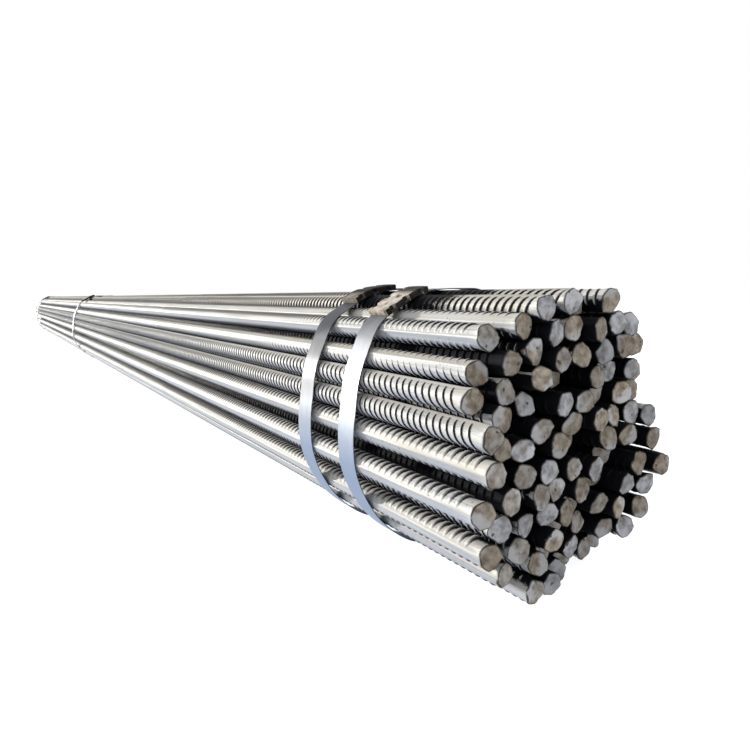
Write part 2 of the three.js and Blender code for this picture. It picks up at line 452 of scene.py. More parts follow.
@dataclass(frozen=True)
class ShearedSteel:
    """A face cut by shear blades: the part that they cut is smooth and pale, and the rest broke and is matt.

    A dark burr runs round the edge, and a film of rust and a few pits lie over it all.
    """

    tint: CutTint
    smooth: str = "E6E7EA"
    burr: str = "2B2520"
    pit: str = "33241A"
    rust: str = "8F7253"
    dark_at: float = 0.33
    light_at: float = 0.62
    patch_size: float = 8 * MM
    rust_fineness: float = 0.6
    pit_size: float = 9 * MM
    grain_size: float = 1.6 * MM
    grain_depth: float = 0.5 * MM
    patch_height: float = 3.0
    blade_unevenness: float = 1.6
    roughness: float = 0.7
    metallic: float = 0.1
    # Where each film starts and is full, and how far it then covers.
    rust_range: ClassVar[Range] = {"From Min": 0.52, "From Max": 0.72, "To Max": 0.55}
    blade_range: ClassVar[Range] = {"From Min": 0.8, "From Max": 1.35, "To Max": 0.7}
    tone_range: ClassVar[Range] = {"To Min": 0.56, "To Max": 0.96}
    pit_range: ClassVar[Range] = {"From Min": 0.7, "From Max": 0.74, "To Max": 0.85}

    def material(self) -> bpy.types.Material:
        """Builds the finish of the cut faces of this tint.

        Returns:
            The material.
        """
        made, tree, shader = new_finish(f"sheared_steel_{self.tint.name.lower()}")
        light, dark = self.tint.value
        place = add(tree, "ShaderNodeTexCoord").outputs["Object"]
        patches = add(
            tree,
            "ShaderNodeTexNoise",
            {"Vector": place, "Scale": 1 / self.patch_size, "Detail": 4.0, "Roughness": 0.55},
        )
        torn = add(tree, "ShaderNodeValToRGB", {"Fac": patches})
        set_stops(torn, {self.dark_at: dark, self.light_at: light})
        rusting = add(
            tree,
            "ShaderNodeTexNoise",
            {"Vector": place, "Scale": self.rust_fineness / self.patch_size, "Detail": 3.0},
        )
        rusted = add(tree, "ShaderNodeMapRange", {"Value": rusting, **self.rust_range})
        blade = add(tree, "ShaderNodeAttribute", attribute_name="blade").outputs["Fac"]
        uneven = {0: patches, 1: self.blade_unevenness, 2: blade}
        edged = add(tree, "ShaderNodeMath", uneven, operation="MULTIPLY_ADD")
        smoothed = add(tree, "ShaderNodeMapRange", {"Value": edged, **self.blade_range})
        rim = add(tree, "ShaderNodeAttribute", attribute_name="rim").outputs["Fac"]
        colour = torn
        for cover, film in ((rusted, self.rust), (smoothed, self.smooth), (rim, self.burr)):
            mixed = {"Factor": cover, 6: colour, 7: linear(film)}
            colour = add(tree, "ShaderNodeMix", mixed, data_type="RGBA").outputs[2]
        tone = add(tree, "ShaderNodeAttribute", attribute_name="tone").outputs["Fac"]
        level = add(tree, "ShaderNodeMapRange", {"Value": tone, **self.tone_range})
        toned = add(tree, "ShaderNodeVectorMath", {0: colour, "Scale": level}, operation="SCALE")
        pits = add(
            tree, "ShaderNodeTexNoise", {"Vector": place, "Scale": 1 / self.pit_size, "Detail": 1.0}
        )
        pitted = add(tree, "ShaderNodeMapRange", {"Value": pits, **self.pit_range})
        mixed = {"Factor": pitted, 6: toned, 7: linear(self.pit)}
        grain = add(
            tree, "ShaderNodeTexNoise", {"Vector": place, "Scale": 1 / self.grain_size, "Detail": 3.0}
        )
        raised = {0: patches, 1: self.patch_height, 2: grain}
        height = add(tree, "ShaderNodeMath", raised, operation="MULTIPLY_ADD")
        relief = {"Height": height, "Distance": self.grain_depth, "Strength": 0.7}
        surface = {
            "Base Color": add(tree, "ShaderNodeMix", mixed, data_type="RGBA").outputs[2],
            "Metallic": self.metallic,
            "Roughness": self.roughness,
            "Normal": add(tree, "ShaderNodeBump", relief),
        }
        feed(shader, surface)
        return made


@dataclass(frozen=True)
class GalvanisedBand:
    """Cold-rolled steel strapping with a thin zinc coat: bright, with lengthwise scratches and dull patches.

    Low down and on the undersides it is tinted bluish as a painted reflection, round its seal it is darkened
    as a painted dark reflection, and its edges that face forward, away from the key light, are darkened as
    painted shade.
    """

    zinc: str = "CCCFD3"
    worn: str = "AEB3BA"
    # Undersides and the low part are tinted bluish: a painted reflection.
    bluish: str = "8C9FBA"
    # Round the seal the strap is darkened: a painted dark reflection.
    dark_reflection_colour: str = "3A3B42"
    # Edges that face forward, away from the key light, are darkened: painted shade.
    edge_shade: str = "383A42"
    worn_at: float = 0.38
    bright_at: float = 0.56
    scratch_width: float = 1.1 * MM
    scratch_length: float = 60 * MM
    scratch_depth: float = 0.08 * MM
    patch_size: float = 28 * MM
    dark_reflection_unevenness: float = 0.5
    metallic: float = 0.32
    specular: float = 0.15
    # Where each film starts and is full, and how far it then covers.
    underside_range: ClassVar[Range] = {"From Min": 0.02, "From Max": -0.3}
    low_down_range: ClassVar[Range] = {"From Min": 180 * MM, "From Max": 108 * MM, "To Max": 0.95}
    dark_reflection_range: ClassVar[Range] = {"From Min": 0.3, "From Max": 1.1, "To Max": 0.95}
    edge_shade_range: ClassVar[Range] = {"From Min": 0.5, "From Max": 0.85, "To Max": 0.9}
    roughness: ClassVar[Range] = {"To Min": 0.54, "To Max": 0.32}

    def material(self) -> bpy.types.Material:
        """Builds the finish of the straps, whose scratches run round the pack.

        Returns:
            The material.
        """
        made, tree, shader = new_finish("galvanised_band")
        place = add(tree, "ShaderNodeTexCoord").outputs["Object"]
        drawn = (1 / self.scratch_width, 1 / self.scratch_length, 1 / self.scratch_length)
        stretched = add(tree, "ShaderNodeMapping", {"Vector": place, "Scale": drawn})
        scratches = add(tree, "ShaderNodeTexNoise", {"Vector": stretched, "Scale": 1.0, "Detail": 3.0})
        patches = add(
            tree, "ShaderNodeTexNoise", {"Vector": place, "Scale": 1 / self.patch_size, "Detail": 3.0}
        )
        both = add(tree, "ShaderNodeMath", {0: scratches, 1: patches}, operation="ADD")
        mean = add(tree, "ShaderNodeMath", {0: both, 1: 0.5}, operation="MULTIPLY")
        coat = add(tree, "ShaderNodeValToRGB", {"Fac": mean})
        set_stops(coat, {self.worn_at: self.worn, self.bright_at: self.zinc})
        facing = add(tree, "ShaderNodeNewGeometry").outputs["Normal"]
        faces = add(tree, "ShaderNodeSeparateXYZ", {0: facing}).outputs
        # Undersides and low down turn bluish: a painted reflection.
        underside = add(tree, "ShaderNodeMapRange", {"Value": faces["Z"], **self.underside_range})
        height = add(tree, "ShaderNodeSeparateXYZ", {0: place}).outputs["Z"]
        low_down = add(tree, "ShaderNodeMapRange", {"Value": height, **self.low_down_range})
        blue_reflection = add(tree, "ShaderNodeMath", {0: underside, 1: low_down}, operation="MAXIMUM")
        # Round the seal, high on the pack, a painted dark reflection.
        dark_reflection = add(tree, "ShaderNodeAttribute", attribute_name="dark_reflection").outputs["Fac"]
        uneven = {0: patches, 1: self.dark_reflection_unevenness, 2: dark_reflection}
        frayed_dark = add(tree, "ShaderNodeMath", uneven, operation="MULTIPLY_ADD")
        darkly_reflecting = add(tree, "ShaderNodeMapRange", {"Value": frayed_dark, **self.dark_reflection_range})
        # Edges that face forward, away from the key light, are darkened: painted shade.
        edge_shade = add(tree, "ShaderNodeMapRange", {"Value": faces["X"], **self.edge_shade_range})
        colour = coat
        for cover, film in ((blue_reflection, self.bluish), (darkly_reflecting, self.dark_reflection_colour), (edge_shade, self.edge_shade)):
            mixed = {"Factor": cover, 6: colour, 7: linear(film)}
            colour = add(tree, "ShaderNodeMix", mixed, data_type="RGBA").outputs[2]
        unpainted_share = add(tree, "ShaderNodeMath", {0: 1.0, 1: darkly_reflecting}, operation="SUBTRACT")
        relief = {"Height": scratches, "Distance": self.scratch_depth, "Strength": 0.4}
        surface = {
            "Base Color": colour,
            "Metallic": add(tree, "ShaderNodeMath", {0: unpainted_share, 1: self.metallic}, operation="MULTIPLY"),
            "Roughness": add(tree, "ShaderNodeMapRange", {"Value": patches, **self.roughness}),
            "Normal": add(tree, "ShaderNodeBump", relief),
            "Specular IOR Level": self.specular,
        }
        feed(shader, surface)
        return made


@dataclass(frozen=True)
class RustedSeal:
    """Bare mild steel sheet, pressed and left in the rain: tan rust with worn, lighter high spots.

    Its sides that face forward, away from the key light, and its top, high on the pack, are darkened as
    painted shade.
    """

    rust: str = "C9BEAE"
    worn: str = "EAE2D6"
    dark: str = "574A3D"
    # Near black on the seal's forward-facing sides and on its top: painted shade.
    seal_shade: str = "0E0C0A"
    dark_at: float = 0.34
    rust_at: float = 0.47
    worn_at: float = 0.62
    patch_size: float = 11 * MM
    grain_size: float = 1.6 * MM
    grain_depth: float = 0.3 * MM
    shade_unevenness: float = 4 * MM
    metallic: float = 0.05
    roughness: float = 0.65
    specular: float = 0.08
    # Where each film starts and is full, and how far it then covers.
    front_face_range: ClassVar[Range] = {"From Min": 0.2, "From Max": 0.6, "To Max": 0.95}
    shade_range: ClassVar[Range] = {"From Min": 309 * MM, "From Max": 313 * MM, "To Max": 0.9}

    def material(self) -> bpy.types.Material:
        """Builds the finish of the seals.

        Returns:
            The material.
        """
        made, tree, shader = new_finish("rusted_seal")
        place = add(tree, "ShaderNodeTexCoord").outputs["Object"]
        patches = add(
            tree,
            "ShaderNodeTexNoise",
            {"Vector": place, "Scale": 1 / self.patch_size, "Detail": 5.0, "Roughness": 0.65},
        )
        sheet = add(tree, "ShaderNodeValToRGB", {"Fac": patches})
        set_stops(sheet, {self.dark_at: self.dark, self.rust_at: self.rust, self.worn_at: self.worn})
        # Sides that face forward, away from the key light, are darkened: painted shade.
        facing = add(tree, "ShaderNodeNewGeometry").outputs["Normal"]
        sideways = add(tree, "ShaderNodeSeparateXYZ", {0: facing}).outputs["X"]
        front_facing = add(tree, "ShaderNodeMapRange", {"Value": sideways, **self.front_face_range})
        # The top of the seal, high on the pack, is darkened too: painted shade.
        height = add(tree, "ShaderNodeSeparateXYZ", {0: place}).outputs["Z"]
        uneven = {0: patches, 1: self.shade_unevenness, 2: height}
        frayed = add(tree, "ShaderNodeMath", uneven, operation="MULTIPLY_ADD")
        top_shaded = add(tree, "ShaderNodeMapRange", {"Value": frayed, **self.shade_range})
        seal_shaded = add(tree, "ShaderNodeMath", {0: front_facing, 1: top_shaded}, operation="MAXIMUM")
        mixed = {"Factor": seal_shaded, 6: sheet, 7: linear(self.seal_shade)}
        colour = add(tree, "ShaderNodeMix", mixed, data_type="RGBA").outputs[2]
        tone = add(tree, "ShaderNodeAttribute", attribute_name="tone").outputs["Fac"]
        grain = add(
            tree, "ShaderNodeTexNoise", {"Vector": place, "Scale": 1 / self.grain_size, "Detail": 3.0}
        )
        relief = {"Height": grain, "Distance": self.grain_depth, "Strength": 0.6}
        surface = {
            "Base Color": add(tree, "ShaderNodeVectorMath", {0: colour, "Scale": tone}, operation="SCALE"),
            "Metallic": self.metallic,
            "Roughness": self.roughness,
            "Normal": add(tree, "ShaderNodeBump", relief),
            "Specular IOR Level": self.specular,
        }
        feed(shader, surface)
        return made


# ---- The bars ----


# A bar's layer and its number in the layer.
BarNumber = tuple[int, int]


@dataclass(frozen=True)
class BarPlace:
    """Where one bar lies: its layer and number in it, its axis, and its two cut ends along X."""

    layer: int
    number: int
    y: float
    z: float
    rear: float
    front: float

    @property
    def length(self) -> float:
        """The bar's length between its cuts."""
        return self.front - self.rear


def places_in(layer: int, solid: bpy.types.Object) -> list[BarPlace]:
    """Finds the bars of a packed layer by the rings of corners at their front ends.

    Args:
        layer: The layer's number, from 1 at the bottom.
        solid: The layer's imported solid.

    Returns:
        The bars' places, from the -Y side to the +Y side.
    """
    corners = coordinates(solid.data)
    uneven_ends = 120 * MM
    slack = 0.1 * MM
    front = corners[corners[:, 0] > corners[:, 0].max() - uneven_ends]
    length = corners[:, 0].max() - corners[:, 0].min() - np.ptp(front[:, 0])
    places = []
    while len(front):
        low = front[:, 1].min()
        here = front[:, 1] < low + BAR_OVER_RIBS + slack
        ring = front[here]
        height = (ring[:, 2].min() + ring[:, 2].max()) / 2
        cut = ring[:, 0].max()
        places.append(BarPlace(layer, len(places) + 1, low + BAR_RADIUS, height, cut - length, cut))
        front = front[~here]
    return places


def is_outer(place: BarPlace, others: list[BarPlace]) -> bool:
    """Tells whether a bar shows from outside, past the others.

    Args:
        place: The bar.
        others: All bars of the pack.

    Returns:
        True if some straight way out from the bar's middle is free over a third of its width.
    """
    offsets = np.array([(o.y - place.y, o.z - place.z) for o in others if o is not place])
    clear = 1.35 * BAR_RADIUS
    ways = 48
    for angle in np.linspace(0, 2 * math.pi, ways, endpoint=False):
        ahead = offsets @ np.array([math.cos(angle), math.sin(angle)])
        aside = np.abs(offsets @ np.array([-math.sin(angle), math.cos(angle)]))
        if not np.any((ahead > 0) & (aside < clear)):
            return True
    return False


def reach_round(place: BarPlace, others: list[BarPlace], steps: int = 72) -> np.ndarray:
    """Tells how open a bar's side is to the outside, at even steps round it.

    Args:
        place: The bar.
        others: All bars of the pack.
        steps: How many steps there are in the round, from the +Y side over the top.

    Returns:
        For each step, the share of the ways out that no other bar and not the ground stops.
    """
    offsets = np.array([(o.y - place.y, o.z - place.z) for o in others if o is not place])
    sides = np.arange(steps) * 2 * math.pi / steps
    widest_tilt, tilt_step = 85, 5
    tilts = np.radians(np.arange(-widest_tilt, widest_tilt + 1, tilt_step))
    starts = np.column_stack([np.cos(sides), np.sin(sides)]) * BAR_RADIUS
    ways = np.stack([np.cos(sides[:, None] + tilts), np.sin(sides[:, None] + tilts)], axis=2)
    to_others = offsets[None, :] - starts[:, None]
    ahead = np.einsum("sod,std->sto", to_others, ways)
    y, z = to_others[:, None, :, 0], to_others[:, None, :, 1]
    aside = np.abs(y * ways[:, :, None, 1] - z * ways[:, :, None, 0])
    stopped = np.any((ahead > 0) & (aside < BAR_RADIUS), axis=2)
    weights = np.cos(tilts)
    return (~stopped @ weights) / weights.sum()


@dataclass(frozen=True)
class RollPass:
    """What a bar got from its own pass through the rolls.

    The lengthwise rib's angle is its height over the -Y side, the lean turns the crescents' tops to the rear,
    and the half spans are how far the crescents of the row above that rib and of the row below it reach each
    way round the bar. Angles are in degrees. The higher the fade power, the blunter the crescents' ends. The
    flank stretch is how much longer their front flanks are than their rear ones. The height is that of their
    crests over the core.
    """

    rib_angle: float
    lean: float
    half_spans: tuple[float, float]
    fade_power: float
    flank_stretch: float
    height: float
    pitch: float

    def row_centre(self, row: int) -> float:
        """Gives the angle in radians, from the +Y side over the top, that a row of crescents faces."""
        return math.radians(90 - self.rib_angle) + row * math.pi


@dataclass(frozen=True)
class ShearCut:
    """One sheared end: the blades upset the steel, flatten its sides and break it off in two uneven facets.

    Each flat has its angle round the bar and its distance from the axis. The spur, which is a dent where it
    is negative, has its angle, its height and its half width in radians. The stretch is the angle at which
    the cut is longer and by what share. The slopes are those of the two facets across and up the bar, and the
    phases shift the waves of their torn surface. The blade is the angle that it came from, and how far from
    the axis, in radii, the part that it cut smoothly starts.
    """

    flats: tuple[tuple[float, float], ...]
    spur: tuple[float, float, float]
    stretch: tuple[float, float]
    slopes: tuple[tuple[float, float], tuple[float, float]]
    phases: tuple[float, float, float]
    blade: tuple[float, float]
    upset: float = 1.17
    flat_edge: float = 0.3
    reach: float = 15 * MM
    relief: float = 0.7 * MM
    waves: ClassVar[tuple[float, float, float]] = (3.1, 3.7, 5.3)
    deepest: ClassVar[float] = -4 * MM
    highest: ClassVar[float] = 1.5 * MM

    @classmethod
    def draw(cls, rng: np.random.Generator, radius: float) -> "ShearCut":
        """Draws a cut at random.

        Args:
            rng: The generator of random numbers.
            radius: The bar's core radius.

        Returns:
            The cut.
        """
        start = rng.uniform(0, 2 * math.pi)
        count = int(rng.integers(5, 9))
        turns = start + 2 * math.pi / count * (np.arange(count) + rng.uniform(-0.3, 0.3, count))
        depths = radius * rng.uniform(0.96, 1.13, count)
        slopes = rng.uniform(-0.3, 0.3, (2, 2))
        spurs = [-1.4, 0, 0, 1.0, 2.2]
        return cls(
            flats=tuple(zip(turns.tolist(), depths.tolist())),
            spur=(rng.uniform(0, 2 * math.pi), rng.choice(spurs) * MM, rng.uniform(0.3, 0.55)),
            stretch=(rng.uniform(0, math.pi), rng.uniform(0.0, 0.06)),
            slopes=tuple(tuple(slope) for slope in slopes.tolist()),
            phases=tuple(rng.uniform(0, 2 * math.pi, 3).tolist()),
            blade=(rng.uniform(0, 2 * math.pi), rng.uniform(-0.3, 0.9)),
        )

    def outline(self, angles: np.ndarray, radius: float) -> np.ndarray:
        """Gives the cut's outline.

        Args:
            angles: The angles round the bar.
            radius: The bar's core radius.

        Returns:
            How far the edge stands from the axis at each angle, in core radii.
        """
        edge = np.full_like(angles, radius * self.upset)
        for turn, depth in self.flats:
            facing = np.cos(angles - turn)
            flat = depth / np.maximum(facing, self.flat_edge)
            edge = np.where(facing > self.flat_edge, np.minimum(edge, flat), edge)
        spur_angle, spur, spur_width = self.spur
        away = (angles - spur_angle + math.pi) % (2 * math.pi) - math.pi
        stretch_angle, stretch = self.stretch
        edge = edge * (1 + stretch * np.cos(2 * (angles - stretch_angle)))
        return (edge + spur * np.exp(-((away / spur_width) ** 2))) / radius

    def from_blade(self, across: np.ndarray, up: np.ndarray, radius: float) -> np.ndarray:
        """Tells how far inside the smooth, cut part of the face points lie, in radii."""
        turn, inset = self.blade
        return (across * math.cos(turn) + up * math.sin(turn)) / radius - inset

    def shape(self, points: np.ndarray, depth: np.ndarray, radius: float, outward: float) -> None:
        """Presses the cut into the end of a bar that lies along the X axis.

        Args:
            points: The bar's points, which this changes.
            depth: How far each point lies from the cut, along the bar.
            radius: The bar's core radius.
            outward: 1 where the cut faces +X and -1 where it faces -X.
        """
        weight = np.clip(1 - depth / self.reach, 0, 1) ** 2
        angles = np.arctan2(points[:, 2], points[:, 1])
        away = np.maximum(np.hypot(points[:, 1], points[:, 2]) / radius, 1e-6)
        outline = self.outline(angles, radius)
        # A rib that already stands out further than the cut's edge isn't pushed any further.
        scale = np.where(away > 1, np.maximum(outline, 1) / away, outline)
        scale = 1 + (scale - 1) * weight
        points[:, 1:] *= scale[:, None]
        across, up = points[:, 1], points[:, 2]
        first, second = (slope[0] * across + slope[1] * up for slope in self.slopes)
        ways = across, up, across - up
        waves = zip(self.waves, ways, self.phases)
        torn = sum(np.sin(wave * way / radius + phase) for wave, way, phase in waves)
        tilted = np.minimum(first, second) + self.relief / 2 * torn
        points[:, 0] += outward * np.clip(tilted, self.deepest, self.highest) * weight


@dataclass
class RibRoller:
    """The Geometry Nodes tree that rolls one row of crescent ribs on a bar.

    Each rib's foot is sunk a little in the core, and its ends are narrower than its middle.
    """

    sink: float = 0.2 * MM
    end_width: float = 0.3
    middle_widening: float = 0.2
    tree: bpy.types.NodeTree = field(init=False)
    sizes: ClassVar[tuple[str, ...]] = (
        "Core radius",
        "Rib height",
        "Rib foot",
        "Rib crest",
        "Rib half span",
        "Fade power",
        "Flank stretch",
        "Crest shift",
        "Rib advance",
        "Step",
        "First turn",
        "First rib",
    )
    counts: ClassVar[tuple[str, ...]] = ("Rib count", "Arc points", "Foot points")

    def __post_init__(self) -> None:
        """Builds the tree."""
        self.tree = bpy.data.node_groups.new("rolled_ribs", "GeometryNodeTree")
        sockets = [("Geometry", "NodeSocketGeometry")]
        sockets += [(name, "NodeSocketFloat") for name in self.sizes]
        sockets += [(name, "NodeSocketInt") for name in self.counts]
        sockets += [("Steel", "NodeSocketMaterial")]
        for name, kind in sockets:
            self.tree.interface.new_socket(name, in_out="INPUT", socket_type=kind)
        self.tree.interface.new_socket("Geometry", in_out="OUTPUT", socket_type="NodeSocketGeometry")
        self.lay_out()

    def lay_out(self) -> None:
        """Adds the nodes: one crescent, its copies along the bar, and the bar's own core."""
        tree = self.tree
        size = add(tree, "NodeGroupInput").outputs
        step = add(tree, "ShaderNodeCombineXYZ", {"X": size["Step"]})
        start = add(tree, "ShaderNodeCombineXYZ", {"X": size["First rib"]})
        row = {"Count": size["Rib count"], "Start Location": start, "Offset": step}
        line = add(tree, "GeometryNodeMeshLine", row)
        turn = add(tree, "ShaderNodeCombineXYZ", {"X": size["First turn"]})
        copies = {"Points": line, "Instance": self.crescent(size), "Rotation": turn}
        ribs = add(tree, "GeometryNodeInstanceOnPoints", copies)
        joined = add(tree, "GeometryNodeJoinGeometry", {0: ribs})
        feed(joined, {0: size["Geometry"]})
        real = add(tree, "GeometryNodeRealizeInstances", {"Geometry": joined})
        cut = add(tree, "GeometryNodeInputNamedAttribute", {"Name": "cut_face"}, data_type="BOOLEAN")
        rolled = add(tree, "FunctionNodeBooleanMath", {0: cut}, operation="NOT")
        finish = {"Geometry": real, "Selection": rolled, "Material": size["Steel"]}
        dressed = add(tree, "GeometryNodeSetMaterial", finish)
        add(tree, "NodeGroupOutput", {0: dressed})

    def crescent(self, size: bpy.types.bpy_prop_collection) -> bpy.types.Node:
        """Adds the nodes that bend a grid into one crescent rib over the +Y side of the X axis.

        Args:
            size: The sockets that give the sizes.

        Returns:
            The node that gives the crescent.
        """
        tree = self.tree
        points = {"Vertices X": size["Arc points"], "Vertices Y": size["Foot points"]}
        grid = add(tree, "GeometryNodeMeshGrid", {"Size X": 2.0, "Size Y": 2.0, **points})
        position = add(tree, "GeometryNodeInputPosition")
        spot = add(tree, "ShaderNodeSeparateXYZ", {0: position}).outputs
        along, across = spot["X"], spot["Y"]

        # The height over the core: a bank from the foot to the crest, which fades out to both ends.
        outermost = add(tree, "ShaderNodeMath", {0: along}, operation="ABSOLUTE")
        faded = add(tree, "ShaderNodeMath", {0: outermost, 1: size["Fade power"]}, operation="POWER")
        taper = add(tree, "ShaderNodeMath", {0: 1.0, 1: faded}, operation="SUBTRACT")
        from_middle = add(tree, "ShaderNodeMath", {0: across}, operation="ABSOLUTE")
        crest_share = add(
            tree, "ShaderNodeMath", {0: size["Rib crest"], 1: size["Rib foot"]}, operation="DIVIDE"
        )
        bank = add(
            tree, "ShaderNodeMapRange", {"Value": from_middle, "From Min": 1.0, "From Max": crest_share}
        )
        full = add(tree, "ShaderNodeMath", {0: size["Rib height"], 1: self.sink}, operation="ADD")
        share = add(tree, "ShaderNodeMath", {0: bank, 1: taper}, operation="MULTIPLY")
        buried = add(
            tree, "ShaderNodeMath", {0: size["Core radius"], 1: self.sink}, operation="SUBTRACT"
        )
        reach = add(tree, "ShaderNodeMath", {0: full, 1: share, 2: buried}, operation="MULTIPLY_ADD")

        # The place along the bar: the foot narrows to both ends, and the front flank is the longer one.
        widening = {0: taper, 1: self.middle_widening, 2: self.end_width}
        narrowed = add(tree, "ShaderNodeMath", widening, operation="MULTIPLY_ADD")
        foot = add(tree, "ShaderNodeMath", {0: narrowed, 1: size["Rib foot"]}, operation="MULTIPLY")
        inside = add(tree, "ShaderNodeMath", {0: 1.0, 1: from_middle}, operation="SUBTRACT")
        shift = {0: inside, 1: size["Crest shift"], 2: across}
        shifted = add(tree, "ShaderNodeMath", shift, operation="MULTIPLY_ADD")
        ahead = add(tree, "ShaderNodeMath", {0: shifted, 1: 0.0}, operation="MAXIMUM")
        longer = add(tree, "ShaderNodeMath", {0: size["Flank stretch"], 1: 1.0}, operation="SUBTRACT")
        stretch = {0: ahead, 1: longer, 2: shifted}
        sloped = add(tree, "ShaderNodeMath", stretch, operation="MULTIPLY_ADD")
        side = add(tree, "ShaderNodeMath", {0: sloped, 1: foot}, operation="MULTIPLY")

        # The arc round the core, which advances along the bar as it goes.
        angle = add(tree, "ShaderNodeMath", {0: along, 1: size["Rib half span"]}, operation="MULTIPLY")
        advance = {0: angle, 1: size["Rib advance"], 2: side}
        x = add(tree, "ShaderNodeMath", advance, operation="MULTIPLY_ADD")
        cosine = add(tree, "ShaderNodeMath", {0: angle}, operation="COSINE")
        sine = add(tree, "ShaderNodeMath", {0: angle}, operation="SINE")
        y = add(tree, "ShaderNodeMath", {0: reach, 1: cosine}, operation="MULTIPLY")
        z = add(tree, "ShaderNodeMath", {0: reach, 1: sine}, operation="MULTIPLY")
        point = add(tree, "ShaderNodeCombineXYZ", {"X": x, "Y": y, "Z": z})
        return add(tree, "GeometryNodeSetPosition", {"Geometry": grid, "Position": point})

    def roll(self, bar: bpy.types.Object, **sizes: object) -> None:
        """Adds a stretch of ribs to a bar, as a modifier.

        Args:
            bar: The bar's object.
            **sizes: The tree's inputs by name, with _ for a space.
        """
        modifier = bar.modifiers.new("rolled_ribs", "NODES")
        modifier.node_group = self.tree
        items = self.tree.interface.items_tree
        keys = {item.name: item.identifier for item in items if item.in_out == "INPUT"}
        for name, value in sizes.items():
            modifier[keys[name.replace("_", " ").capitalize()]] = value


@dataclass(frozen=True)
class RibRun:
    """A run of crescents in one of a bar's two rows: its first rib, how many it has and if they are fine."""

    row: int
    first: int
    count: int
    fine: bool


